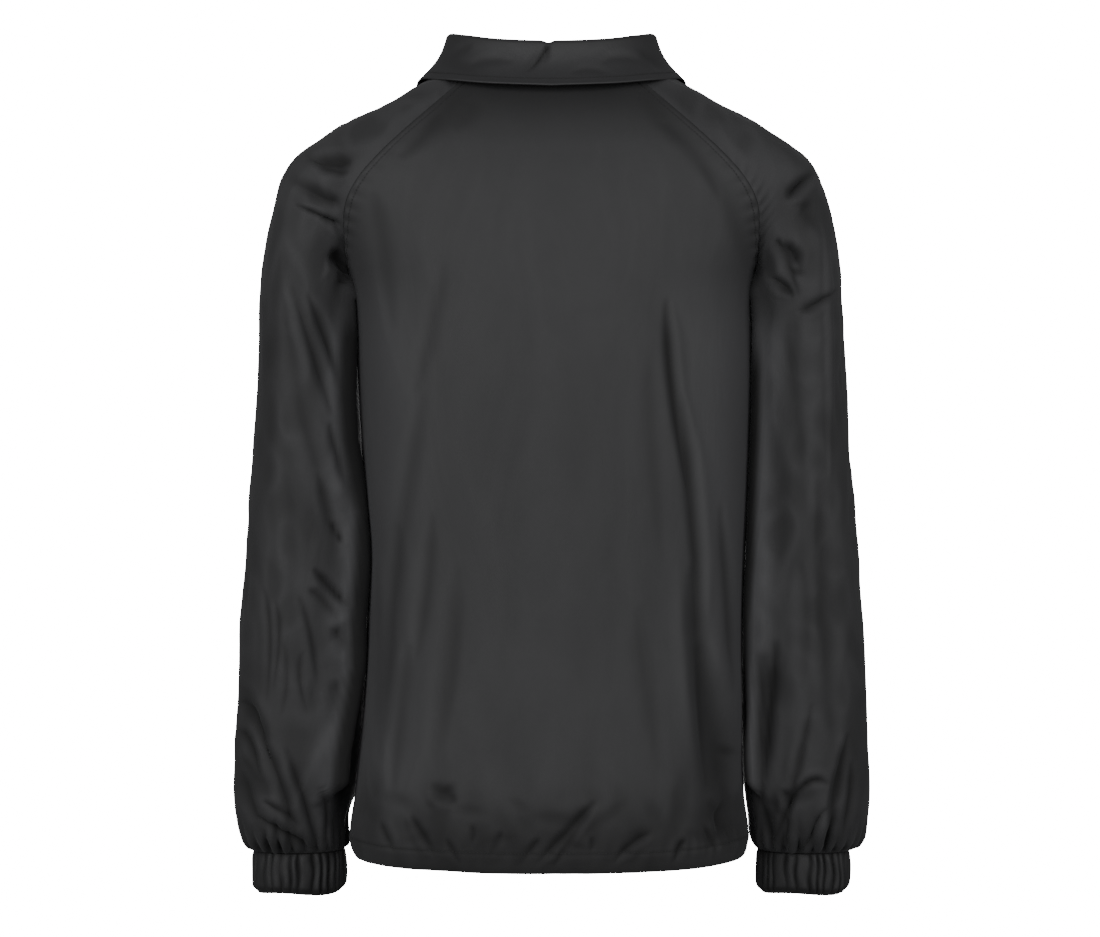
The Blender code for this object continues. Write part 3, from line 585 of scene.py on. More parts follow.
# %% Creases on the sleeves
SLEEVE_CREASES = [
    Crease(352, 160, 330, 162, 304, 156, 7, 5.5, 1),
    Crease(350, 172, 332, 171, 312, 163, 5, 3.4, -1),
    Crease(346, 205, 320, 200, 290, 180, 7, 4.2, 1),
    Crease(294, 205, 322, 216, 354, 232, 2.8, 3.8, -1),
    Crease(318, 218, 336, 224, 352, 244, 5, 3.6, 1),
    Crease(328, 252, 344, 262, 362, 282, 9, 7.0, 1),
    Crease(336, 270, 346, 292, 354, 318, 6, 4.6, -1),
    Crease(290, 282, 312, 350, 334, 420, 6, 3.6, 1),
    Crease(306, 290, 330, 350, 350, 410, 5, 3.6, 1),
    Crease(284, 312, 300, 400, 322, 478, 8, 2.4, -1),
    Crease(328, 420, 344, 470, 360, 516, 6, 5.0, 1),
    Crease(316, 470, 328, 510, 338, 560, 6, 2.6, -1),
    Crease(331, 520, 338, 534, 346, 549, 3.2, 3.0, 1),
    Crease(262, 300, 268, 400, 264, 520, 9, 2.0, 1),
    Crease(312, 568, 333, 590, 358, 616, 5, 5.0, 1),
    Crease(306, 590, 322, 600, 344, 628, 5, 2.6, -1),
    Crease(330, 628, 344, 640, 358, 666, 9, 6.0, -1),
    Crease(332, 680, 342, 700, 354, 740, 8, 4.0, 1),
    Crease(264, 585, 270, 640, 266, 705, 3.6, 1.7, 1),
    Crease(275, 598, 279, 640, 273, 694, 3.2, 1.6, -1),
    Crease(283, 640, 287, 680, 280, 720, 3.6, 1.4, 1),
    Crease(298, 595, 311, 636, 318, 690, 4.4, 2.4, 1),
    Crease(303, 650, 300, 680, 308, 716, 3.6, 1.8, -1),
    Crease(284, 470, 292, 540, 290, 610, 8, 1.8, 1),
    Crease(240, 700, 256, 722, 270, 765, 6, 5.0, -1),
    Crease(238, 728, 250, 744, 262, 778, 5, 3.6, 1),
    Crease(258, 735, 281, 785, 300, 848, 6, 4.8, 1),
    Crease(284, 745, 304, 800, 316, 850, 5, 4.0, 1),
    Crease(242, 770, 250, 800, 266, 838, 6, 3.6, 1),
    Crease(256, 815, 284, 834, 322, 852, 4.6, 5.0, 1),
    Crease(262, 800, 282, 812, 300, 826, 4, 2.8, -1),
    Crease(332, 760, 338, 806, 330, 846, 6, 3.4, -1),
    Crease(318, 780, 326, 812, 322, 846, 4, 2.6, 1),
    Crease(266, 222, 262, 280, 259, 340, 4, -1.6, 1),
    Crease(786, 202, 798, 186, 816, 170, 6, 6.0, 1),
    Crease(800, 204, 812, 216, 822, 240, 8, 3.0, -1),
    Crease(782, 243, 793, 254, 802, 272, 6, 5.5, -1),
    Crease(776, 238, 784, 256, 800, 300, 5, 3.6, 1),
    Crease(771, 278, 782, 284, 794, 298, 4.6, 4.4, 1),
    Crease(796, 312, 816, 304, 836, 288, 4.4, 3.8, 1),
    Crease(823, 215, 829, 350, 829, 490, 3.2, -2.0, 1),
    Crease(838, 230, 845, 350, 848, 480, 5, 1.8, -1),
    Crease(820, 470, 825, 600, 838, 770, 9, 2.8, 1),
    Crease(776, 636, 770, 715, 760, 812, 7, 6.0, 1),
    Crease(762, 650, 758, 720, 756, 800, 9, 6.0, 1),
    Crease(784, 330, 796, 420, 806, 525, 10, 2.4, 1),
    Crease(768, 420, 776, 500, 770, 600, 9, 2.2, -1),
    Crease(800, 560, 806, 620, 800, 700, 7, 1.8, 1),
    Crease(848, 730, 839, 785, 824, 842, 5, 4.4, 1),
    Crease(812, 700, 800, 760, 780, 830, 5, 3.0, 1),
    Crease(808, 780, 790, 804, 775, 842, 4.4, 3.6, 1),
    Crease(826, 806, 812, 832, 800, 858, 4, 4.4, -1),
    Crease(838, 808, 829, 834, 819, 858, 4, 4.0, 1),
    Crease(782, 788, 788, 801, 790, 818, 4.4, 3.4, 1),
    Crease(799, 794, 813, 781, 829, 786, 4.4, 3.4, -1),
    Crease(852, 760, 850, 800, 838, 846, 4, 3.0, -1),
    Crease(762, 800, 768, 826, 776, 852, 5, 3.4, 1),
    Crease(790, 812, 788, 832, 792, 856, 3.6, 2.6, 1),
]
SLEEVE_DENTS = [
    Dent(339, 160, 11, 9, 170, 2.2, 0.55),
    Dent(322, 160, 15, 4.5, 172, 1.8, 0.50),
    Dent(318, 191, 27, 7, 28, 2.5, 0.52),
    Dent(338, 203, 10, 6, 30, 1.0, 0.40),
    Dent(346, 264, 16, 8, 22, 3.5, 0.85),
    Dent(343, 296, 14, 7, 70, 1.5, 0.25),
    Dent(345, 690, 36, 9, 88, 2.0, 0.20),
    Dent(340, 812, 34, 8, 96, 1.5, 0.75),
    Dent(257, 715, 34, 9, 66, 2.5, 0.42),
    Dent(250, 770, 18, 9, 40, 1.5, 0.30),
    Dent(262, 788, 17, 11, 20, 2.0, 0.40),
    Dent(288, 838, 24, 5, 20, 1.0, 0.32),
    Dent(798, 186, 15, 6, 135, 2.5, 0.72),
    Dent(803, 214, 24, 15, 100, 2.0, 0.62),
    Dent(793, 255, 10, 8, 20, 3.5, 0.90),
    Dent(797, 272, 8, 4.5, 10, 2.0, 0.80),
    Dent(784, 290, 9, 4, 25, 1.5, 0.80),
    Dent(812, 307, 24, 8, 160, 1.5, 0.25),
    Dent(824, 610, 160, 9, 88, 1.0, 0.24),
    Dent(855, 740, 50, 9, 90, 1.0, 0.28),
    Dent(761, 692, 36, 11, 96, 3.0, 0.46),
    Dent(757, 775, 58, 7, 93, 2.0, 0.48),
    Dent(797, 797, 19, 8, 170, 2.0, 0.50),
    Dent(777, 822, 28, 6, 80, 1.5, 0.36),
    Dent(834, 786, 30, 4, 104, 1.5, 0.50),
    Dent(806, 832, 22, 5, 110, 1.0, 0.26),
]
print(len(SLEEVE_CREASES), "creases on the backs of the sleeves,", len(SLEEVE_DENTS), "dents")

# %% [markdown]
# The hidden side
#
# The picture doesn't show the front, so its creases are guessed: the same kinds of drag
# folds run from the armholes and gather above the cuffs, and the fronts fall in soft
# folds below the chest.

# %% Creases in front, in the picture of a camera in front of the jacket
FRONT_CREASES = [
    Crease(420, 235, 436, 300, 446, 400, 10, 3.0, -1),
    Crease(402, 330, 408, 460, 400, 620, 11, 3.6, 1),
    Crease(440, 520, 428, 640, 420, 800, 12, 3.4, 1),
    Crease(392, 640, 388, 720, 394, 810, 8, 2.4, -1),
    Crease(684, 235, 672, 300, 660, 410, 10, 3.0, 1),
    Crease(700, 330, 706, 480, 690, 640, 11, 3.4, -1),
    Crease(672, 560, 684, 680, 704, 820, 12, 3.8, 1),
    Crease(640, 640, 650, 730, 648, 815, 10, 2.2, -1),
    Crease(480, 180, 462, 240, 456, 320, 10, 1.6, -1),
    Crease(622, 180, 642, 240, 650, 320, 10, 1.6, 1),
    Crease(500, 420, 494, 540, 488, 660, 14, 1.4, 1),
    Crease(606, 430, 610, 540, 618, 650, 14, 1.4, -1),
    Crease(470, 800, 482, 826, 492, 852, 4, 2.0, 1),
    Crease(430, 812, 440, 832, 448, 850, 4, 1.8, -1),
    Crease(640, 806, 626, 830, 616, 854, 4, 2.2, -1),
    Crease(690, 806, 684, 828, 674, 848, 4, 1.8, 1),
]
SLEEVE_FRONT_CREASES = [
    Crease(300, 180, 322, 205, 350, 240, 6, 4.2, 1),
    Crease(284, 240, 306, 290, 342, 330, 7, 3.8, -1),
    Crease(262, 400, 296, 440, 344, 470, 8, 4.4, 1),
    Crease(258, 450, 292, 480, 340, 500, 6, 4.0, -1),
    Crease(256, 520, 284, 520, 322, 540, 7, 3.0, 1),
    Crease(262, 590, 282, 660, 290, 740, 8, 2.6, 1),
    Crease(250, 740, 268, 790, 276, 845, 7, 3.6, 1),
    Crease(300, 740, 300, 790, 292, 845, 6, 3.2, -1),
    Crease(330, 720, 326, 780, 312, 840, 6, 3.0, 1),
    Crease(806, 180, 784, 205, 756, 240, 6, 4.0, 1),
    Crease(818, 250, 798, 300, 764, 340, 7, 3.6, 1),
    Crease(840, 390, 806, 436, 762, 462, 8, 4.2, -1),
    Crease(846, 450, 812, 476, 764, 500, 6, 4.2, 1),
    Crease(846, 540, 812, 536, 780, 548, 7, 2.8, 1),
    Crease(840, 600, 822, 660, 812, 750, 8, 2.6, -1),
    Crease(852, 750, 836, 800, 826, 845, 7, 3.6, 1),
    Crease(806, 745, 802, 795, 806, 848, 6, 3.2, 1),
    Crease(776, 720, 780, 780, 790, 842, 6, 3.0, -1),
]
FRONT_DENTS = [
    Dent(392, 800, 50, 16, 96, 3.0, 0.32),
    Dent(700, 790, 60, 20, 84, 3.0, 0.34),
    Dent(462, 806, 18, 8, 10, 2.0, 0.40),
]
SLEEVE_FRONT_DENTS = [
    Dent(330, 262, 16, 8, 150, 3.0, 0.55),
    Dent(776, 262, 16, 8, 30, 3.0, 0.55),
    Dent(300, 455, 30, 10, 20, 2.5, 0.35),
    Dent(806, 448, 30, 10, 160, 2.5, 0.35),
    Dent(268, 800, 26, 8, 70, 2.0, 0.35),
    Dent(830, 796, 26, 8, 110, 2.0, 0.35),
]
print(len(FRONT_CREASES) + len(SLEEVE_FRONT_CREASES), "creases on the hidden side,",
      len(FRONT_DENTS) + len(SLEEVE_FRONT_DENTS), "dents")

# %% [markdown]
# Seams
#
# Along a raglan seam the allowance lies under the panel, so the cloth is raised there for
# the width of a finger nail, and a row of top stitching holds it down. The hem is the
# panel's own cloth turned up into a casing, stitched along its upper edge.

# %% Raised seam allowances and the casing
ALLOWANCE = 0.0065
ALLOWANCE_RAISE = 0.0005
STITCH_GROOVE = 0.0006
STITCH_GROOVE_HALF = 0.0012
HEM_RAISE = 0.0009
PUCKER_REACH = 0.013
PUCKER_DEPTH = 0.00080
PUCKER_LENGTH = 0.0125
HEM_GROOVE = 0.0007
HEM_GROOVE_HALF = 0.0016
HEM_TURN = 0.0025
HEM_PUCKER_LENGTHS = (0.021, 0.013, 0.034)
HEM_PUCKER_DEPTH = 0.0011
HEM_PUCKER_REACH = 0.011


def run_from_end(grid):
    """Distance of each point along its row from the row's last end."""
    steps = np.linalg.norm(np.diff(grid, axis=1), axis=2)
    run = np.concatenate([np.zeros((len(grid), 1)), np.cumsum(steps, axis=1)], axis=1)
    return run[:, -1:] - run


def seam_profile(distance):
    """Height of the cloth at a distance from a seam: raised, with a groove at the stitches."""
    raised = ALLOWANCE_RAISE * (1 - smoothstep(ALLOWANCE, ALLOWANCE + 0.003, distance))
    groove = STITCH_GROOVE * np.exp(-((distance - ALLOWANCE) / STITCH_GROOVE_HALF) ** 2)
    turned = ALLOWANCE_RAISE * np.exp(-(distance / 0.0012) ** 2)
    return raised - groove - turned


def seam_puckers(distance, grid, seed):
    """Short waves across a seam, where its stitching draws the cloth in."""
    along = np.linalg.norm(np.diff(grid, axis=0), axis=2).mean(axis=1)
    run = np.concatenate([[0.0], np.cumsum(along)])[:, None]
    waves = np.sin(2 * math.pi * run / PUCKER_LENGTH + 2.2 * np.sin(41 * run + seed) + 160 * distance)
    strength = 0.55 + 0.45 * np.sin(19 * run + 2 * seed)
    near = np.exp(-(distance / PUCKER_REACH) ** 2) * smoothstep(0.0, 0.003, distance)
    return PUCKER_DEPTH * waves * strength * near


def hem_rise(grid):
    """Distance of each point above the hem, along its column."""
    steps = np.linalg.norm(np.diff(grid, axis=0), axis=2)
    return np.concatenate([np.zeros((1, grid.shape[1])), np.cumsum(steps, axis=0)], axis=0)


def hem_profile(grid):
    """Height of the casing over the panel, by the distance above the hem."""
    rise = hem_rise(grid)
    casing = HEM_RAISE * (1 - smoothstep(HEM_BAND, HEM_BAND + HEM_TURN, rise))
    groove = HEM_GROOVE * np.exp(-((rise - HEM_BAND) / HEM_GROOVE_HALF) ** 2)
    return casing - groove - HEM_RAISE * np.exp(-(rise / HEM_TURN) ** 2)


def hem_puckers(grid, seed):
    """Short uneven waves that the casing's stitching draws into the hem."""
    across = grid[..., 0] + 0.6 * grid[..., 1]
    waves = np.zeros(grid.shape[:2])
    for number, length in enumerate(HEM_PUCKER_LENGTHS):
        phase = seed + 1.7 * number + 3.0 * np.sin(across * 23 + number + seed)
        waves += np.sin(2 * math.pi * across / length + phase) / 3
    above = grid[..., 2] - HEM_HEIGHT
    reach = np.exp(-((above - HEM_BAND) / HEM_PUCKER_REACH) ** 2)
    return HEM_PUCKER_DEPTH * waves * reach


# %% [markdown]
# Meshes from grids
#
# A grid of points becomes a sheet of faces, with a flat map in metres, so that a weave
# has its real size anywhere on it. The hem is turned up inside, as it is sewn, which also
# gives the panels a rounded lower edge. Collar and cuffs get their thickness by Solidify.

# %% Sheets
def length_maps(grid):
    """Flat positions of the grid's points in metres: along the rows and along the columns."""
    across = np.linalg.norm(np.diff(grid, axis=1), axis=2).mean(axis=0)
    along = np.linalg.norm(np.diff(grid, axis=0), axis=2).mean(axis=1)
    u = np.concatenate([[0.0], np.cumsum(across)])
    v = np.concatenate([[0.0], np.cumsum(along)])
    return np.stack(np.meshgrid(u, v), axis=-1)


def turned_up(grid):
    """The grid with a hem turned in at its first row and brought up behind the panel."""
    inward = -normals(grid)[0]
    up = grid[6] - grid[0]
    up /= np.linalg.norm(up, axis=1, keepdims=True)
    rows = []
    for angle in (60, 120, 180):
        turn = math.radians(angle)
        drop = -math.sin(turn) * TURN_ROUND
        rows.append(grid[0] + inward * (1 - math.cos(turn)) * TURN_ROUND + up * drop)
    for share in (0.1, 0.4, 0.7, 1.0):
        rows.append(grid[0] + inward * 2 * TURN_ROUND + up * TURN_IN * share)
    return np.concatenate([np.array(rows[::-1]), grid])


def sheet_object(name, grid, material, closed_from=None, inside_out=False, shell=None, painted_shade=None):
    """A piece from a grid: rings from closed_from on, and the painted shade of each point."""
    rows, columns = grid.shape[:2]
    index = np.arange(rows * columns).reshape(rows, columns)
    if closed_from is not None:
        index[closed_from:, -1] = index[closed_from:, 0]
    quads = np.stack([index[:-1, :-1], index[:-1, 1:], index[1:, 1:], index[1:, :-1]], axis=-1)
    flat = length_maps(grid)
    corners = np.stack([flat[:-1, :-1], flat[:-1, 1:], flat[1:, 1:], flat[1:, :-1]], axis=2)
    quads, corners = quads.reshape(-1, 4), corners.reshape(-1, 4, 2)
    if inside_out:
        quads, corners = quads[:, ::-1], corners[:, ::-1]
    used, new_index = np.unique(quads, return_inverse=True)
    mesh = bpy.data.meshes.new(name)
    points = grid.reshape(-1, 3)[used]
    mesh.from_pydata(points.tolist(), [], new_index.reshape(-1, 4).tolist())
    uv = mesh.uv_layers.new(name="cloth")
    uv.data.foreach_set("uv", corners.reshape(-1).astype(np.float32))
    # Painted shade per point, zero where none is given, for the material to darken by.
    depth = np.zeros((rows, columns))
    if painted_shade is not None:
        depth[rows - len(painted_shade):] = painted_shade
    shade = mesh.attributes.new("painted_shade", "FLOAT", "POINT")
    shade.data.foreach_set("value", depth.reshape(-1)[used].astype(np.float32))
    mesh.materials.append(material)
    mesh.shade_smooth()
    piece = bpy.data.objects.new(name, mesh)
    bpy.context.scene.collection.objects.link(piece)
    if shell:
        wall = piece.modifiers.new("thickness", "SOLIDIFY")
        wall.thickness = shell
        wall.offset = -1.0
    print(f"{name}: {len(mesh.polygons)} faces")
    return piece


# %% [markdown]
# Finish of the cloth
#
# The shell is a dense plain weave of dark nylon with a calendered, faintly oily sheen.
# Two effects are shared by all its materials, so each is a node group: the weave with its
# slub, and the fine crinkle that gives nylon its broken highlights.

# %% Node groups
def new_group(name, inputs, outputs):
    group = bpy.data.node_groups.new(name, "ShaderNodeTree")
    for label, value in inputs:
        socket = group.interface.new_socket(label, in_out="INPUT", socket_type="NodeSocketFloat")
        socket.default_value = value
    for label in outputs:
        group.interface.new_socket(label, in_out="OUTPUT", socket_type="NodeSocketFloat")
    start = group.nodes.new("NodeGroupInput")
    end = group.nodes.new("NodeGroupOutput")
    return group, start, end


def math_node(tree, operation, first, second):
    node = tree.nodes.new("ShaderNodeMath")
    node.operation = operation
    for socket, value in zip(node.inputs, (first, second)):
        if isinstance(value, bpy.types.NodeSocket):
            tree.links.new(value, socket)
        elif value is not None:
            socket.default_value = value
    return node.outputs[0]


def weave_group():
    """Plain weave from two crossed waves on the cloth's flat map, with uneven yarns."""
    group, start, end = new_group("plain_weave", [("Yarns per metre", 1400.0), ("Slub", 0.3)],
                                  ["Height", "Shade"])
    flat = group.nodes.new("ShaderNodeUVMap")
    flat.uv_map = "cloth"
    split = group.nodes.new("ShaderNodeSeparateXYZ")
    group.links.new(flat.outputs[0], split.inputs[0])
    turns = math_node(group, "MULTIPLY", start.outputs["Yarns per metre"], math.pi)
    waves = []
    for axis in ("X", "Y"):
        angle = math_node(group, "MULTIPLY", split.outputs[axis], turns)
        waves.append(math_node(group, "SINE", angle, None))
    cloth = math_node(group, "MULTIPLY", waves[0], waves[1])
    slub = group.nodes.new("ShaderNodeTexNoise")
    slub.inputs["Scale"].default_value = 90.0
    slub.inputs["Detail"].default_value = 3.0
    group.links.new(flat.outputs[0], slub.inputs["Vector"])
    uneven = math_node(group, "MULTIPLY", slub.outputs["Fac"], start.outputs["Slub"])
    group.links.new(math_node(group, "ADD", cloth, uneven), end.inputs["Height"])
    shade = math_node(group, "MULTIPLY", slub.outputs["Fac"], 0.24)
    group.links.new(math_node(group, "ADD", shade, 0.88), end.inputs["Shade"])
    return group


def crinkle_group():
    """Fine creases of thin nylon: the ridges of a distorted noise, stretched along the cloth."""
    group, start, end = new_group("nylon_crinkle", [("Size", 30.0), ("Stretch", 0.4)], ["Height"])
    place = group.nodes.new("ShaderNodeTexCoord")
    split = group.nodes.new("ShaderNodeSeparateXYZ")
    group.links.new(place.outputs["Object"], split.inputs[0])
    join = group.nodes.new("ShaderNodeCombineXYZ")
    group.links.new(split.outputs["X"], join.inputs["X"])
    group.links.new(split.outputs["Y"], join.inputs["Y"])
    group.links.new(math_node(group, "MULTIPLY", split.outputs["Z"], start.outputs["Stretch"]),
                    join.inputs["Z"])
    broad = group.nodes.new("ShaderNodeTexNoise")
    broad.inputs["Detail"].default_value = 4.0
    broad.inputs["Roughness"].default_value = 0.55
    broad.inputs["Distortion"].default_value = 0.6
    group.links.new(start.outputs["Size"], broad.inputs["Scale"])
    group.links.new(join.outputs[0], broad.inputs["Vector"])
    ridge = math_node(group, "ABSOLUTE", math_node(group, "SUBTRACT", broad.outputs["Fac"], 0.5), None)
    group.links.new(ridge, end.inputs["Height"])
    return group


WEAVE = weave_group()
CRINKLE = crinkle_group()
print("node groups:", WEAVE.name, CRINKLE.name)

# %% [markdown]
# The four cloths
#
# The body, the sleeves, the collar and the cuffs are the same nylon. It looks lightest
# on the body and darkest in the cuffs, so each has its own colour, which paints in that
# light and shade. Where a point has painted shade, the colour falls towards black and the
# sheen goes.

# %% Cloth materials
def group_node(tree, group, **values):
    node = tree.nodes.new("ShaderNodeGroup")
    node.node_tree = group
    for label, value in values.items():
        node.inputs[label.replace("_", " ")].default_value = value
    return node


YARN_SHADES = (0.82, 1.12)
PAINTED_SHADE_COLOUR = 0.03
PAINTED_SHADE_DULLS = 0.25
CRINKLE_DULLS = 0.25
WEAVE_HEIGHT = 0.00008


def nylon(name, colour, roughness, crinkle_height, crinkle_size, stretch):
    material = bpy.data.materials.new(name)
    material.use_nodes = True
    tree = material.node_tree
    shader = tree.nodes["Principled BSDF"]
    weave = group_node(tree, WEAVE)
    crinkle = group_node(tree, CRINKLE, Size=crinkle_size, Stretch=stretch)

    tint = tree.nodes.new("ShaderNodeMix")
    tint.data_type = "RGBA"
    tint.inputs["A"].default_value = (*(c * YARN_SHADES[0] for c in colour), 1.0)
    tint.inputs["B"].default_value = (*(c * YARN_SHADES[1] for c in colour), 1.0)
    tree.links.new(weave.outputs["Shade"], tint.inputs["Factor"])
    # Painted shade: where the point's painted shade value is high, the colour falls towards black and
    # the roughness rises.
    painted_shade = tree.nodes.new("ShaderNodeAttribute")
    painted_shade.attribute_name = "painted_shade"
    shaded = tree.nodes.new("ShaderNodeMix")
    shaded.data_type = "RGBA"
    shaded.inputs["B"].default_value = (*(c * PAINTED_SHADE_COLOUR for c in colour), 1.0)
    tree.links.new(painted_shade.outputs["Fac"], shaded.inputs["Factor"])
    tree.links.new(tint.outputs["Result"], shaded.inputs["A"])
    tree.links.new(shaded.outputs["Result"], shader.inputs["Base Color"])

    uneven = math_node(tree, "MULTIPLY", crinkle.outputs["Height"], CRINKLE_DULLS)
    dulled = math_node(tree, "MULTIPLY", painted_shade.outputs["Fac"], PAINTED_SHADE_DULLS)
    rough = math_node(tree, "ADD", math_node(tree, "ADD", uneven, roughness), dulled)
    tree.links.new(rough, shader.inputs["Roughness"])

    fine = tree.nodes.new("ShaderNodeBump")
    fine.inputs["Strength"].default_value = 0.22
    fine.inputs["Distance"].default_value = WEAVE_HEIGHT
    tree.links.new(weave.outputs["Height"], fine.inputs["Height"])
    coarse = tree.nodes.new("ShaderNodeBump")
    coarse.inputs["Strength"].default_value = 1.0
    coarse.inputs["Distance"].default_value = crinkle_height
    tree.links.new(crinkle.outputs["Height"], coarse.inputs["Height"])
    tree.links.new(fine.outputs[0], coarse.inputs["Normal"])
    tree.links.new(coarse.outputs[0], shader.inputs["Normal"])

    shader.inputs["Specular IOR Level"].default_value = 0.50
    shader.inputs["Sheen Weight"].default_value = 0.06
    shader.inputs["Sheen Roughness"].default_value = 0.45
    shader.inputs["Sheen Tint"].default_value = (0.75, 0.76, 0.80, 1.0)
    return material


# Painted light and shade: each part's colour is set to how lit it looks, so the collar and the cuffs
# are darker as if in shade, and the sleeves' colour is raised, as most of each sleeve is painted darker
# again.
BODY_CLOTH = nylon("body_nylon", (0.041, 0.041, 0.0432), 0.62, 0.0010, 16.0, 0.35)
SLEEVE_CLOTH = nylon("sleeve_nylon", (0.112, 0.112, 0.1184), 0.60, 0.0016, 18.0, 0.45)
COLLAR_CLOTH = nylon("collar_nylon", (0.0172, 0.0172, 0.0184), 0.64, 0.0010, 22.0, 0.9)
CUFF_CLOTH = nylon("cuff_nylon", (0.0084, 0.0084, 0.0092), 0.64, 0.0008, 60.0, 0.3)
print("cloth materials made")

# %% [markdown]
# The back, the fronts and the sleeves
#
# Each piece is its plain form, with its seams raised, its creases pressed in and its small
# crumples added. Near a seam all of these fade out, so that two pieces still meet there.
# The back gets painted shade under the collar as the collar's shadow, at the hem and along
# its seams, and a little in its middle, where it lies flat to the light.

# %% Make the panels
HEM_SHADE = 0.55
HEM_SHADE_HEIGHTS = (-0.632, -0.712)
COLLAR_SHADE = 0.60
COLLAR_SHADE_HEIGHTS = (-0.078, -0.014)
MIDDLE_SHADE = 0.50
MIDDLE_REACH = (0.175, 0.085)
MIDDLE_TOP = (-0.26, -0.13)
LINE_SHADE = 0.45
STITCH_LINE_HALF = 0.0012
ALLOWANCE_LINE = (0.45, 0.0010)
SEAM_LINE = (0.70, 0.0014)
PUCKER_SHADE = 0.5
PANEL_BROAD = Crumple(0.050, 2.6, 0.0022, 0.16)
PANEL_BROAD_ABOVE = 0.30
PANEL_BROAD_HEIGHTS = (-0.45, -0.70)
PANEL_SMALL = Crumple(0.024, 1.3, 0.0009, 0.30)
PANEL_SMALL_ABOVE = 0.06
PANEL_SMALL_HEIGHTS = (-0.61, -0.69)
LAP_FLAT = (0.020, 0.060)
LAP_FINISH = 0.12


def line_shade(distance, half):
    return LINE_SHADE * np.exp(-(distance / half) ** 2)


def finish_panel(grid, creases, dents, facing, seed, seam_lines):
    """A panel's form with its creases, crumples, hem and seams, and its painted shade."""
    weight = faded_ends(grid, 1, start=facing > 0) * faded_ends(grid, 0, start=False)
    # Painted shade: towards the hem, under the collar as its shadow, along the casing's stitch line,
    # and in the middle where the panel lies flat to the light.
    shades = [HEM_SHADE * smoothstep(*HEM_SHADE_HEIGHTS, grid[..., 2])]
    if facing > 0:
        shades.append(COLLAR_SHADE * smoothstep(*COLLAR_SHADE_HEIGHTS, grid[..., 2]))
    shades.append(line_shade(hem_rise(grid) - HEM_BAND, STITCH_LINE_HALF))
    upper = smoothstep(*MIDDLE_TOP, grid[..., 2])
    middle = smoothstep(*MIDDLE_REACH, np.abs(grid[..., 0]))
    shades.append(MIDDLE_SHADE * (upper + (1 - upper) * middle))
    grid, painted_shade = creased(grid, creases, dents, facing, weight)
    low = smoothstep(*PANEL_BROAD_HEIGHTS, grid[..., 2])
    broad_weight = weight * (PANEL_BROAD_ABOVE + (1 - PANEL_BROAD_ABOVE) * low)
    grid, broad = crumple(grid, broad_weight, PANEL_BROAD, seed)
    lowest = smoothstep(*PANEL_SMALL_HEIGHTS, grid[..., 2])
    small_weight = weight * (PANEL_SMALL_ABOVE + (1 - PANEL_SMALL_ABOVE) * lowest)
    grid, small = crumple(grid, small_weight, PANEL_SMALL, seed + 9)
    shades += [broad, small]
    lift = hem_profile(grid) + hem_puckers(grid, seed) * faded_ends(grid, 1, start=facing > 0)
    raglan = smoothstep(ARMPIT_HEIGHT - 0.01, ARMPIT_HEIGHT + 0.02, grid[..., 2])
    for distance in seam_lines:
        puckers = raglan * seam_puckers(distance, grid, seed)
        lift = lift + seam_profile(distance) + puckers
        # Painted shade: dark lines along the allowance's stitching and along the seam, and in the
        # puckers' troughs.
        strength, half = ALLOWANCE_LINE
        shades.append(strength * raglan * line_shade(distance - ALLOWANCE, half))
        strength, half = SEAM_LINE
        shades.append(strength * line_shade(distance, half))
        shades.append(np.clip(-puckers / PUCKER_DEPTH, 0, 1) * PUCKER_SHADE)
    open_share = np.prod([1 - shade for shade in shades], axis=0)
    return grid + normals(grid) * lift[..., None], 1 - (1 - painted_shade) * open_share


def make_back():
    form = back_form()
    to_left = run_from_end(form)
    to_right = run_from_end(form[:, ::-1])[:, ::-1]
    return finish_panel(form, BACK_CREASES + HEM_CREASES, BACK_DENTS, 1, 2.0, (to_left, to_right))


def make_front(side):
    form = front_form(side)
    beyond_lap = smoothstep(*LAP_FLAT, side * form[..., 0])
    finished, painted_shade = finish_panel(form, FRONT_CREASES, FRONT_DENTS, -1, 5.0 + side,
                                    (run_from_end(form),))
    share = LAP_FINISH + (1 - LAP_FINISH) * beyond_lap
    return form + (finished - form) * share[..., None], painted_shade


BACK, back_painted_shade = make_back()
(left_front, left_painted_shade), (right_front, right_painted_shade) = make_front(1), make_front(-1)
FRONTS = {1: left_front, -1: right_front}
back_piece = sheet_object("back_sheet", turned_up(BACK), BODY_CLOTH, inside_out=True,
                          painted_shade=back_painted_shade)
front_pieces = {
    1: sheet_object("left_front_sheet", turned_up(left_front), BODY_CLOTH, painted_shade=left_painted_shade),
    -1: sheet_object("right_front_sheet", turned_up(right_front), BODY_CLOTH, inside_out=True,
                     painted_shade=right_painted_shade),
}

# %% [markdown]
# The sleeves beside the body
#
# From behind, a black gap shows between each sleeve and the body, down to just above the
# hem. So the sleeve leans over the gap from behind, it stays clear of the back's edge, and
# it is painted black along its inner edge as the gap's shadow. The rest of the sleeve gets
# painted shade, less of it in a strip next to the gap, which stands for light there, and a
# little more on the outer side. Where the cuff is sewn on, the sleeve's fullness stands in
# pleats, with painted shade in their folds.

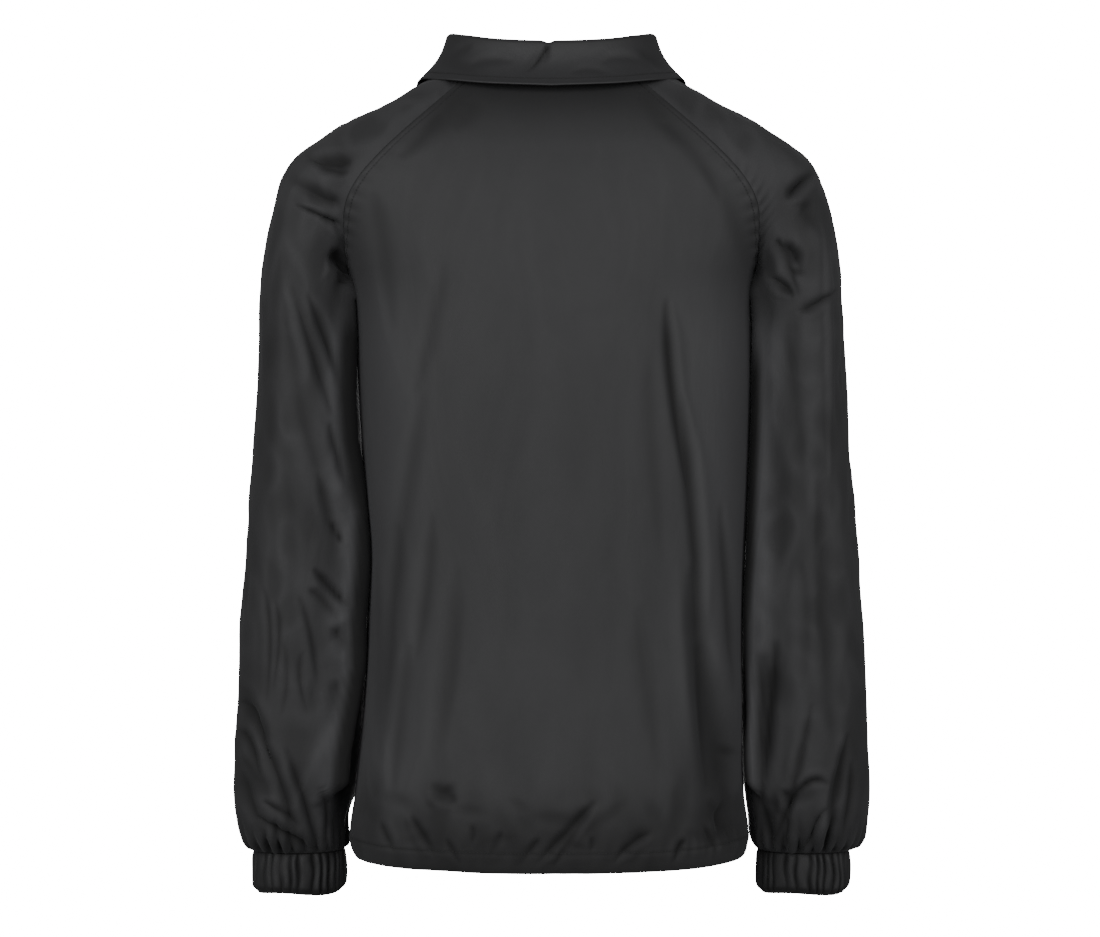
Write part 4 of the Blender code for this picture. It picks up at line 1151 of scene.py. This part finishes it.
# %% Make the sleeves
GATHERS_AT_CUFF = 26
GATHER_REACH = 0.0242
CUFF_FULLNESS = 0.0026
CUFF_FULLNESS_SHADE = 4.0
LEAN = {1: 0.0122, -1: 0.0066}
LEAN_DEPTH = 0.040
LEAN_REACH = 0.015
LEAN_HEIGHTS = (-0.178, -0.662)
LEAN_SIDE = (0.034, 0.014)
SLEEVE_CLEARANCE = 0.0018
EDGE_X = 0.12
EDGE_Y = 0.11
CLEARED_Y = (-0.004, 0.10)
CLEARED_SIDE = 0.03
GAP_EDGE = {1: (-0.003, 0.010), -1: (-0.003, 0.005)}
GAP_TOP = {1: (-0.195, -0.245), -1: (-0.232, -0.282)}
# Painted light: next to the gap, a strip of the sleeve gets less of the sleeve's painted shade.
PAINTED_LIGHT = 0.33
PAINTED_LIGHT_SIDE = (0.004, 0.030)
PAINTED_LIGHT_DEPTH = (-0.010, 0.020)
SLEEVE_SHADE = 0.788
SIDE_SHADE = 0.26
SIDE_SHADE_REACH = (0.030, 0.006)
SMOOTH_EDGE = 0.15
SMOOTH_EDGE_REACH = (0.001, 0.013)
SLEEVE_BROAD = Crumple(0.055, 2.2, 0.0040, 0.22)
SLEEVE_SMALL = Crumple(0.022, 1.8, 0.0016, 0.30)


def cuff_gathers(grid, side):
    """Fullness of the sleeve, drawn into pleats where the cuff is sewn on."""
    turn = np.linspace(0, 2 * math.pi, grid.shape[1])[None, :]
    above = grid[..., 2] - ARM[-1].height
    uneven = 1.0 + 0.5 * np.sin(3 * turn + side) + 0.3 * np.sin(7 * turn + 2 * side)
    phase = 1.2 * np.sin(2 * turn + side) + 0.6 * np.sin(5 * turn + 3 * side) - 30 * above
    waves = 2 * np.abs(np.cos((GATHERS_AT_CUFF * turn + phase) / 2)) - 1
    reach = np.exp(-(above / GATHER_REACH) ** 2) * smoothstep(0.0, 0.004, above)
    return CUFF_FULLNESS * uneven * waves * reach


def at_height(grid, column):
    """A column of the sleeve's table, read at the height of each point."""
    heights = np.clip(grid[..., 2], ARM[-1].height, ARM[0].height)
    return np.interp(heights, [row.height for row in ARM[::-1]],
                     [getattr(row, column) for row in ARM[::-1]])


def from_inner_edge(grid, side):
    """How far each point lies outward from the sleeve's inner edge at its height."""
    return side * grid[..., 0] - at_height(grid, "inner_left" if side > 0 else "inner_right")


def leaned(grid, side):
    """The sleeve leans over the gap from behind, where the body curves away from it."""
    beside = from_inner_edge(grid, side)
    along = smoothstep(LEAN_HEIGHTS[0], LEAN_HEIGHTS[0] - 0.025, grid[..., 2])
    along = along * smoothstep(LEAN_HEIGHTS[1] - 0.015, LEAN_HEIGHTS[1] + 0.010, grid[..., 2])
    near = np.exp(-((grid[..., 1] - LEAN_DEPTH) / LEAN_REACH) ** 2)
    near = near * smoothstep(*LEAN_SIDE, beside)
    moved = grid.copy()
    moved[..., 0] -= side * (beside + LEAN[side]) * near * along
    return moved


def clear_of_back(grid, side):
    """Keeps the sleeve just beside the back's edge, below the armpit."""
    edge = BACK[(side * BACK[..., 0] > EDGE_X) & (BACK[..., 1] < EDGE_Y)]
    tree = kdtree.KDTree(len(edge))
    for number, (_, depth, height) in enumerate(edge):
        tree.insert((0, depth, height), number)
    tree.balance()
    near = (grid[..., 1] > CLEARED_Y[0]) & (grid[..., 1] < CLEARED_Y[1])
    near = near & (from_inner_edge(grid, side) < CLEARED_SIDE)
    for place in np.argwhere(near & (grid[..., 2] < ARMPIT_HEIGHT - 0.012)):
        x, depth, height = grid[tuple(place)]
        number = tree.find((0, depth, height))[1]
        grid[tuple(place)][0] = side * max(side * x, side * edge[number][0] + SLEEVE_CLEARANCE)
    return grid


def gap_shade(grid, side):
    """Painted black shadow of the gap beside the body, and painted shade on the sleeve, with less of it
    in a strip of painted light along the inner side.
    """
    beside = from_inner_edge(grid, side)
    below = smoothstep(ARMPIT_HEIGHT - 0.01, ARMPIT_HEIGHT - 0.06, grid[..., 2])
    gap = smoothstep(*GAP_TOP[side], grid[..., 2]) * (1 - smoothstep(*GAP_EDGE[side], beside))
    painted_light = (1 - smoothstep(*PAINTED_LIGHT_SIDE, beside)) * smoothstep(*PAINTED_LIGHT_DEPTH, grid[..., 1])
    return 1 - (1 - gap) * (1 - SLEEVE_SHADE * (1 - PAINTED_LIGHT * below * painted_light))


def side_shade(grid, side):
    """Shade on the outermost part of a sleeve, which turns away to the side."""
    from_outer = at_height(grid, "outer") - side * grid[..., 0]
    below = smoothstep(ARMPIT_HEIGHT + 0.06, ARMPIT_HEIGHT - 0.06, grid[..., 2])
    return below * SIDE_SHADE * smoothstep(*SIDE_SHADE_REACH, from_outer)


def make_sleeve(side):
    form = leaned(eased_rows(sleeve_grid(side), CAP_ROWS, ARMPIT_EASE, 0.16), side)
    weight = faded_ends(form, 0)
    weight[:CAP_ROWS] *= faded_ends(form, 1)[:CAP_ROWS]
    off_edge = smoothstep(*SMOOTH_EDGE_REACH, from_inner_edge(form, side))[CAP_ROWS:]
    weight[CAP_ROWS:] *= SMOOTH_EDGE + (1 - SMOOTH_EDGE) * off_edge
    grid, back_painted_shade = creased(form, SLEEVE_CREASES, SLEEVE_DENTS, 1, weight, CAP_ROWS)
    grid, front_painted_shade = creased(grid, SLEEVE_FRONT_CREASES, SLEEVE_FRONT_DENTS, -1, weight, CAP_ROWS)
    grid, broad = crumple(grid, weight, SLEEVE_BROAD, 3.0 + side, CAP_ROWS)
    grid, small = crumple(grid, weight, SLEEVE_SMALL, 8.0 + side, CAP_ROWS)
    lift = cuff_gathers(grid, side)
    for distance in (run_from_end(grid), run_from_end(grid[:, ::-1])[:, ::-1]):
        upper = np.arange(len(grid))[:, None] < CAP_ROWS
        lift = lift + upper * seam_puckers(distance, grid, side)
    # Painted shade from the creases and dents, in the pleats at the cuff, in the gap, on the outer side
    # and in the crumples' dips.
    shades = [back_painted_shade, front_painted_shade, np.clip(-lift / (CUFF_FULLNESS_SHADE * CUFF_FULLNESS), 0, 1),
              gap_shade(form, side), side_shade(form, side), broad, small]
    open_share = np.prod([1 - np.clip(shade, 0, 1) for shade in shades], axis=0)
    return clear_of_back(grid + normals(grid, CAP_ROWS) * lift[..., None], side), 1 - open_share


SLEEVES = {}
sleeve_pieces = {}
for side, name in ((1, "left"), (-1, "right")):
    SLEEVES[side], sleeve_painted_shade = make_sleeve(side)
    sleeve_pieces[side] = sheet_object(f"{name}_sleeve_sheet", SLEEVES[side], SLEEVE_CLOTH,
                                       CAP_ROWS, side > 0, painted_shade=sleeve_painted_shade)

# %% [markdown]
# The collar
#
# The collar is one strip: it stands up from the neck seam, turns over and falls outside
# as a leaf with two points in front. It is soft, so its fold is a loose roll.

# %% Make the collar
CollarRow = namedtuple("CollarRow", "angle fold_x fold_y fold_z edge_x edge_y edge_z")
COLLAR = [
    CollarRow(0, 0.0000, 0.0690, 0.0222, 0.0000, 0.0905, -0.0166),
    CollarRow(30, 0.0460, 0.0600, 0.0256, 0.0580, 0.0835, -0.0135),
    CollarRow(60, 0.0790, 0.0340, 0.0340, 0.1030, 0.0550, -0.0060),
    CollarRow(90, 0.0915, 0.0000, 0.0392, 0.1245, 0.0080, -0.0010),
    CollarRow(120, 0.0820, -0.0380, 0.0260, 0.1230, -0.0450, -0.0190),
    CollarRow(150, 0.0500, -0.0690, -0.0090, 0.0990, -0.0920, -0.0620),
    CollarRow(180, 0.0030, -0.0850, -0.0450, 0.0600, -0.1200, -0.1090),
]
COLLAR_STAND_ROWS = 12
COLLAR_FOLD_ROWS = 12
COLLAR_LEAF_ROWS = 34
COLLAR_FOLD_RADIUS = 0.0035
COLLAR_FRONT_GAP = 0.003
COLLAR_EASE = 16
COLLAR_COLUMNS = 421
LEAF_HOLLOW = 0.0045
FOLD_ROW = COLLAR_STAND_ROWS + COLLAR_FOLD_ROWS // 2
UNDER_LEAF_SHADE = 0.25
NOTCH_X = 0.003
NOTCH_HALF = 0.004
NOTCH_DEEP = 0.0022
STITCHED_SHARE = 0.84
leaf_row = COLLAR_STAND_ROWS + COLLAR_FOLD_ROWS + round(COLLAR_LEAF_ROWS * STITCHED_SHARE)
COLLAR_CREASES = [
    Crease(552, 36, 543, 54, 527, 73, 2.0, 2.6, 1),
    Crease(551, 38, 548, 45, 544, 53, 2.4, 2.4, 1),
    Crease(546, 36, 549, 50, 543, 64, 3.0, 1.2, -1),
    Crease(470, 66, 490, 60, 516, 62, 5, 0.9, 1),
    Crease(448, 62, 462, 50, 474, 44, 5, 1.0, -1),
    Crease(600, 64, 622, 58, 646, 66, 5, 0.9, -1),
    Crease(640, 50, 652, 60, 668, 74, 5, 1.0, 1),
    Crease(570, 74, 590, 70, 612, 76, 4, 0.7, 1),
]
COLLAR_DENTS = [
    Dent(462, 66, 18, 7, 10, 1.0, 0.25),
    Dent(652, 60, 14, 8, 40, 1.0, 0.18),
    Dent(534, 60, 12, 5, 128, 0.8, 0.30),
]


def neck_line():
    """Points round the neck seam, from the left front end to the right front end."""
    halves = []
    for side in (1, -1):
        front = panel_half_rows(side, -1)[-1]
        sleeve = cap_section(0, side, SLEEVE_HALF_FACES)
        back = panel_half_rows(side, 1)[-1]
        toward = front[1] - front[0]
        start = front[0] + toward * COLLAR_FRONT_GAP / np.linalg.norm(toward)
        front = front[front[:, 0] * side > start[0] * side + 0.001]
        halves.append(np.concatenate([[start], front, sleeve[1:-1], back[-2::-1]]))
    return np.concatenate([halves[0], halves[1][-2::-1]])


def even_points(line, count):
    """The same line with evenly spaced points."""
    run = np.concatenate([[0], np.cumsum(np.linalg.norm(np.diff(line, axis=0), axis=1))])
    at = np.linspace(0, run[-1], count)
    return np.stack([np.interp(at, run, line[:, axis]) for axis in range(3)], axis=1)


def collar_column(seam):
    side = 1 if seam[0] >= 0 else -1
    angle = math.degrees(math.atan2(abs(seam[0]), seam[1]))
    row = row_at(COLLAR, angle, "angle")
    fold = sides((row.fold_x, row.fold_y, row.fold_z), side)
    edge = sides((row.edge_x, row.edge_y, row.edge_z), side)
    out = (edge - fold) * (1, 1, 0)
    out = out / np.linalg.norm(out)
    foot = seam + np.array([0.0, 0.0, 2 * SEAM_GAP])
    column = [foot + (fold - foot) * s / COLLAR_STAND_ROWS for s in range(COLLAR_STAND_ROWS)]
    for step in range(COLLAR_FOLD_ROWS):
        turn = math.pi * step / COLLAR_FOLD_ROWS
        reach = (1 - math.cos(turn)) * COLLAR_FOLD_RADIUS
        column.append(fold + out * reach + np.array([0.0, 0.0, math.sin(turn) * COLLAR_FOLD_RADIUS]))
    leaf = fold + out * 2 * COLLAR_FOLD_RADIUS
    for s in range(COLLAR_LEAF_ROWS + 1):
        share = s / COLLAR_LEAF_ROWS
        column.append(leaf + (edge - leaf) * share - out * LEAF_HOLLOW * math.sin(math.pi * share))
    return column


def make_collar():
    line = even_points(neck_line(), COLLAR_COLUMNS)
    columns = np.array([collar_column(point) for point in line])
    columns = eased_rows(columns, len(columns) // 2, COLLAR_EASE, 0.05)
    grid = columns.transpose(1, 0, 2)
    dip = NOTCH_DEEP * np.exp(-((grid[..., 0] - NOTCH_X) / NOTCH_HALF) ** 2)
    at_fold = np.exp(-((np.arange(len(grid)) - FOLD_ROW) / COLLAR_FOLD_ROWS) ** 2)[:, None]
    grid[..., 2] -= dip * at_fold * (grid[..., 1] > 0)
    falls = smoothstep(FOLD_ROW, FOLD_ROW + COLLAR_FOLD_ROWS, np.arange(len(grid)))[:, None]
    grid, painted_shade = creased(grid, COLLAR_CREASES, COLLAR_DENTS, 1, falls * (grid[..., 1] > 0))
    # Painted shade: a dark line along the stitched row, and shade on the stand under the leaf.
    stitch_line_shade = line_shade(np.arange(len(grid))[:, None] - leaf_row, 0.7)
    under = UNDER_LEAF_SHADE * (1 - falls)
    return grid, 1 - (1 - painted_shade) * (1 - stitch_line_shade) * (1 - under)


COLLAR_GRID, collar_painted_shade = make_collar()
collar_piece = sheet_object("collar_sheet", COLLAR_GRID, COLLAR_CLOTH, shell=0.0012,
                            painted_shade=collar_painted_shade)

# %% [markdown]
# The cuffs
#
# A cuff is a band with elastic inside, so its cloth stands in close uneven gathers. The
# ring is a wave of a fixed count whose depth and spacing wander, pinched at both seams.

# %% Make the cuffs
CUFF_TOP = -0.7228
CUFF_DEEP = 0.040
CUFF_HALF_WIDTH = 0.0425
CUFF_HALF_DEPTH = 0.0340
CUFF_MIDDLE_X = 0.2388
CUFF_MIDDLE_Y = -0.022
CUFF_GATHERS = 29
CUFF_GATHER_DEPTH = 0.0015
CUFF_FOOT_SHADE = 0.35
CUFF_ROWS = 26
CUFF_COLUMNS = 384


def make_cuff(side):
    turn = np.linspace(0, 2 * math.pi, CUFF_COLUMNS + 1)[None, :]
    share = np.linspace(0, 1, CUFF_ROWS + 1)[:, None]
    phase = 1.8 * np.sin(2 * turn + side) + 1.2 * np.sin(5 * turn) + 0.9 * np.sin(11 * turn + 2 * side)
    phase = phase + 0.5 * np.sin(2.4 * share * math.pi + 4 * turn)
    depth = 1 + 0.40 * np.sin(3 * turn + 2 * side) + 0.30 * np.sin(7 * turn + 5 * share + side)
    depth = CUFF_GATHER_DEPTH * depth
    seam_pinch = 0.35 + 0.65 * smoothstep(0, 0.18, share) * (1 - smoothstep(0.86, 1.0, share))
    ridge = np.abs(np.cos((CUFF_GATHERS * turn + phase) / 2)) ** 0.8
    wave = 2 * ridge - 1.3
    belly = 0.0018 * np.sin(math.pi * share) ** 0.6 - 0.0040 * smoothstep(0.78, 1.0, share) ** 2
    swell = belly + depth * seam_pinch * wave
    x = side * (CUFF_MIDDLE_X + (CUFF_HALF_WIDTH + swell) * np.cos(turn))
    y = CUFF_MIDDLE_Y + (CUFF_HALF_DEPTH + swell) * np.sin(turn)
    z = CUFF_TOP - (CUFF_DEEP + 0.0012 * np.sin(3 * turn + side)) * share
    # Painted shade in the valleys between the gathers, and towards the cuff's lower edge.
    valley_shade = np.clip((1 - ridge) ** 2.2 * 1.2 * depth / CUFF_GATHER_DEPTH, 0, 0.9)
    foot = CUFF_FOOT_SHADE * smoothstep(0.70, 1.0, share)
    return np.stack([x, y, z], axis=-1), 1 - (1 - valley_shade) * (1 - foot)


cuff_pieces = {}
for cuff_side, cuff_name in ((1, "left"), (-1, "right")):
    cuff_grid, cuff_painted_shade = make_cuff(cuff_side)
    cuff_pieces[cuff_side] = sheet_object(f"{cuff_name}_cuff_sheet", cuff_grid, CUFF_CLOTH,
                                          closed_from=0, inside_out=cuff_side > 0, shell=0.0015,
                                          painted_shade=cuff_painted_shade)

# %% [markdown]
# Stitching
#
# A stitch is a short grain of thread that dips into the cloth at both ends. One grain is
# made once and repeated along each line by a loop, and all of a piece's grains are joined
# into one mesh.

# %% Thread
STITCH_LENGTH = 0.0026
STITCH_PITCH = 0.0034
THREAD = 0.00026
STITCH_STATIONS = np.array([0.0, 0.2, 0.5, 0.8, 1.0])
STITCH_FATNESS = (0.35, 0.9, 1.0, 0.9, 0.35)
STITCH_LIFT = (-0.7, 0.5, 0.9, 0.5, -0.7)


def thread_material():
    material = bpy.data.materials.new("thread")
    material.use_nodes = True
    tree = material.node_tree
    shader = tree.nodes["Principled BSDF"]
    twist = tree.nodes.new("ShaderNodeTexNoise")
    twist.inputs["Scale"].default_value = 900.0
    ramp = tree.nodes.new("ShaderNodeValToRGB")
    ramp.color_ramp.elements[0].color = (0.010, 0.010, 0.011, 1)
    ramp.color_ramp.elements[1].color = (0.022, 0.022, 0.024, 1)
    tree.links.new(twist.outputs["Fac"], ramp.inputs["Fac"])
    tree.links.new(ramp.outputs["Color"], shader.inputs["Base Color"])
    shader.inputs["Roughness"].default_value = 0.75
    return material


THREAD_CLOTH = thread_material()


def stitch_grains(line, outward):
    """Points and faces of the stitches along one line that lies on the cloth."""
    run = np.concatenate([[0], np.cumsum(np.linalg.norm(np.diff(line, axis=0), axis=1))])
    count = int(run[-1] / STITCH_PITCH)
    points, faces = [], []
    for number in range(count):
        start = (number + 0.12) * STITCH_PITCH
        stations = start + STITCH_LENGTH * STITCH_STATIONS
        middles = np.stack([np.interp(stations, run, line[:, a]) for a in range(3)], axis=1)
        out = np.stack([np.interp(stations, run, outward[:, a]) for a in range(3)], axis=1)
        out /= np.linalg.norm(out, axis=1, keepdims=True)
        run_dir = middles[-1] - middles[0]
        run_dir /= np.linalg.norm(run_dir)
        first = len(points)
        for place, up, fat, lift in zip(middles, out, STITCH_FATNESS, STITCH_LIFT):
            beside = np.cross(up, run_dir)
            for corner in range(5):
                turn = 2 * math.pi * corner / 5
                points.append(place + up * THREAD * (lift + fat * math.sin(turn))
                              + beside * THREAD * fat * math.cos(turn))
        for ring in range(4):
            for corner in range(5):
                a = first + 5 * ring + corner
                b = first + 5 * ring + (corner + 1) % 5
                faces.append((a, b, b + 5, a + 5))
        faces.append(tuple(first + corner for corner in range(4, -1, -1)))
        faces.append(tuple(first + 20 + corner for corner in range(5)))
    return points, faces


def stitched(name, lines):
    points, faces = [], []
    for line, outward in lines:
        more_points, more_faces = stitch_grains(line, outward)
        faces += [tuple(corner + len(points) for corner in face) for face in more_faces]
        points += more_points
    mesh = bpy.data.meshes.new(name)
    mesh.from_pydata([tuple(p) for p in points], [], faces)
    mesh.materials.append(THREAD_CLOTH)
    mesh.shade_smooth()
    piece = bpy.data.objects.new(name, mesh)
    bpy.context.scene.collection.objects.link(piece)
    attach(piece, "root")
    print(f"{name}: {len(faces)} faces")
    return piece


# %% [markdown]
# The lines of stitches
#
# One line runs down each raglan seam of the back and the fronts, one along the casing of
# each panel, and one round the collar's leaf.

# %% Where the stitches run
def line_beside_seam(grid, distance, rows, from_start=False):
    """Points at a distance from the end of each row, with the cloth's normals there."""
    rows = list(rows)
    normal = normals(grid)
    if from_start:
        grid, normal = grid[:, ::-1], normal[:, ::-1]
    away = run_from_end(grid)
    line, outward = [], []
    for row in rows:
        order = slice(None, None, -1)
        line.append([np.interp(distance, away[row][order], grid[row, order, a]) for a in range(3)])
        outward.append([np.interp(distance, away[row][order], normal[row, order, a]) for a in range(3)])
    return np.array(line), np.array(outward)


def line_along_row(grid, row):
    return grid[row], normals(grid)[row]


SEAM_SPAN = range(PANEL_LOWER_ROWS + 2, len(BACK) - 1)
hem_row = round(HEM_BAND / (ARMPIT_HEIGHT - HEM_HEIGHT) * PANEL_LOWER_ROWS)

back_lines = [line_beside_seam(BACK, ALLOWANCE, SEAM_SPAN),
              line_beside_seam(BACK, ALLOWANCE, SEAM_SPAN, True),
              line_along_row(BACK, hem_row)]
back_stitches = stitched("back_stitches", back_lines)
for front_side, front_name in ((1, "left"), (-1, "right")):
    cloth = FRONTS[front_side]
    stitched(f"{front_name}_front_stitches", [
        line_beside_seam(cloth, ALLOWANCE, SEAM_SPAN),
        line_along_row(cloth, hem_row),
    ])


COLLAR_THREAD_LIFT = 0.0012


def collar_line():
    """The row of the collar's leaf that is stitched, just above the cloth."""
    row = COLLAR_GRID[leaf_row]
    out = np.cross(np.gradient(row, axis=0), COLLAR_GRID[leaf_row + 1] - COLLAR_GRID[leaf_row - 1])
    if (out * row).sum() < 0:
        out = -out
    out /= np.linalg.norm(out, axis=1, keepdims=True)
    return row + out * COLLAR_THREAD_LIFT, out


collar_stitches = stitched("collar_stitches", [collar_line()])

# %% [markdown]
# Snaps
#
# The snap caps are the frame's own pieces, so they only get a finish: a dark satin
# enamel, a little uneven.

# %% Snap finish
def enamel():
    material = bpy.data.materials.new("snap_enamel")
    material.use_nodes = True
    tree = material.node_tree
    shader = tree.nodes["Principled BSDF"]
    wear = tree.nodes.new("ShaderNodeTexNoise")
    wear.inputs["Scale"].default_value = 420.0
    wear.inputs["Detail"].default_value = 5.0
    ramp = tree.nodes.new("ShaderNodeValToRGB")
    ramp.color_ramp.elements[0].position = 0.35
    ramp.color_ramp.elements[0].color = (0.012, 0.012, 0.013, 1)
    ramp.color_ramp.elements[1].color = (0.035, 0.035, 0.037, 1)
    tree.links.new(wear.outputs["Fac"], ramp.inputs["Fac"])
    tree.links.new(ramp.outputs["Color"], shader.inputs["Base Color"])
    rough = math_node(tree, "MULTIPLY", wear.outputs["Fac"], 0.35)
    tree.links.new(math_node(tree, "ADD", rough, 0.30), shader.inputs["Roughness"])
    return material


snap_finish = enamel()
snap_names = sorted(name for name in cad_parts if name.startswith("snap_"))
for snap_name in snap_names:
    cap = bpy.data.objects[snap_name]
    cap.data.materials.clear()
    cap.data.materials.append(snap_finish)
print("snaps:", snap_names)

# %% [markdown]
# What each piece stands for
#
# Each sheet rides on the one body of the frame and takes the place of its plain solid;
# the table lists the cut it was made from.

# %% Attach the pieces
Cut = namedtuple("Cut", "piece node slot width length area")
CUTS = [
    Cut(back_piece, "back_panel", "body_cloth", 0.56, 0.75, 0.370),
    Cut(front_pieces[1], "front_left", "body_cloth", 0.31, 0.69, 0.185),
    Cut(front_pieces[-1], "front_right", "body_cloth", 0.31, 0.69, 0.185),
    Cut(sleeve_pieces[1], "sleeve_left", "sleeve_cloth", 0.50, 0.80, 0.290),
    Cut(sleeve_pieces[-1], "sleeve_right", "sleeve_cloth", 0.50, 0.80, 0.290),
    Cut(collar_piece, "collar", "body_cloth", 0.52, 0.12, 0.052),
    Cut(cuff_pieces[1], "cuff_left", "cuff_cloth", 0.30, 0.042, 0.012),
    Cut(cuff_pieces[-1], "cuff_right", "cuff_cloth", 0.30, 0.042, 0.012),
]
for cut in CUTS:
    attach(cut.piece, "root")
    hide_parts(cut.node)
print(len(CUTS), "sheets registered")

# %% [markdown]
# Floor, backdrop and light
#
# The jacket hangs in front of plain white. A pale floor lies below it, and sends back little
# light of its own. A tall soft lamp on each side lights the back evenly, a weaker one stands
# above the camera, and a fourth lights the front.

# %% Stage and lamps
SHADED_FLOOR = 0.12


def stage_material(colour):
    """A pale floor that sends back little light of its own."""
    material = bpy.data.materials.new("pale_stage")
    material.use_nodes = True
    tree = material.node_tree
    shader = tree.nodes["Principled BSDF"]
    grain = tree.nodes.new("ShaderNodeTexNoise")
    grain.inputs["Scale"].default_value = 40.0
    ramp = tree.nodes.new("ShaderNodeValToRGB")
    ramp.color_ramp.elements[0].color = (*(c * 0.99 for c in colour), 1)
    ramp.color_ramp.elements[1].color = (*colour, 1)
    tree.links.new(grain.outputs["Fac"], ramp.inputs["Fac"])
    ray = tree.nodes.new("ShaderNodeLightPath")
    seen = tree.nodes.new("ShaderNodeMix")
    seen.data_type = "RGBA"
    seen.inputs["A"].default_value = (*(c * SHADED_FLOOR for c in colour), 1)
    tree.links.new(ray.outputs["Is Camera Ray"], seen.inputs["Factor"])
    tree.links.new(ramp.outputs["Color"], seen.inputs["B"])
    tree.links.new(seen.outputs["Result"], shader.inputs["Base Color"])
    shader.inputs["Roughness"].default_value = 0.9
    return material


FLOOR_HEIGHT = -1.15
FLOOR_HALF = 1.5
BACKDROP_WHITE = 20.0
AMBIENT = 0.13
floor_mesh = bpy.data.meshes.new("floor")
floor_corners = [(x * FLOOR_HALF, y * FLOOR_HALF, FLOOR_HEIGHT)
                 for x, y in ((-1, -1), (1, -1), (1, 1), (-1, 1))]
floor_mesh.from_pydata(floor_corners, [], [(0, 1, 2, 3)])
floor_mesh.materials.append(stage_material((0.95, 0.95, 0.95)))
floor = bpy.data.objects.new("floor", floor_mesh)
bpy.context.scene.collection.objects.link(floor)

world = bpy.data.worlds.new("studio")
bpy.context.scene.world = world
world.use_nodes = True
sky = world.node_tree.nodes["Background"]
sky.inputs["Color"].default_value = (1, 1, 1, 1)
ray = world.node_tree.nodes.new("ShaderNodeLightPath")
seen = math_node(world.node_tree, "MULTIPLY", ray.outputs["Is Camera Ray"], BACKDROP_WHITE)
world.node_tree.links.new(math_node(world.node_tree, "ADD", seen, AMBIENT), sky.inputs["Strength"])


def lamp(name, place, target, size, power):
    light = bpy.data.lights.new(name, "AREA")
    light.shape = "RECTANGLE"
    light.size, light.size_y = size
    light.energy = power
    thing = bpy.data.objects.new(name, light)
    bpy.context.scene.collection.objects.link(thing)
    thing.location = place
    thing.rotation_euler = (Vector(target) - Vector(place)).to_track_quat("-Z", "Y").to_euler()
    return thing


lamp("key", (0.2, 2.5, 0.35), (0, 0, -0.35), (1.8, 1.2), 20)
lamp("side_left", (1.75, 1.95, 0.15), (0, 0, -0.35), (1.7, 2.0), 37)
lamp("side_right", (-1.75, 1.95, 0.15), (0, 0, -0.35), (1.7, 2.0), 35)
lamp("front_fill", (0, -2.5, -0.15), (0, 0, -0.35), (0.56, 1.4), 62)
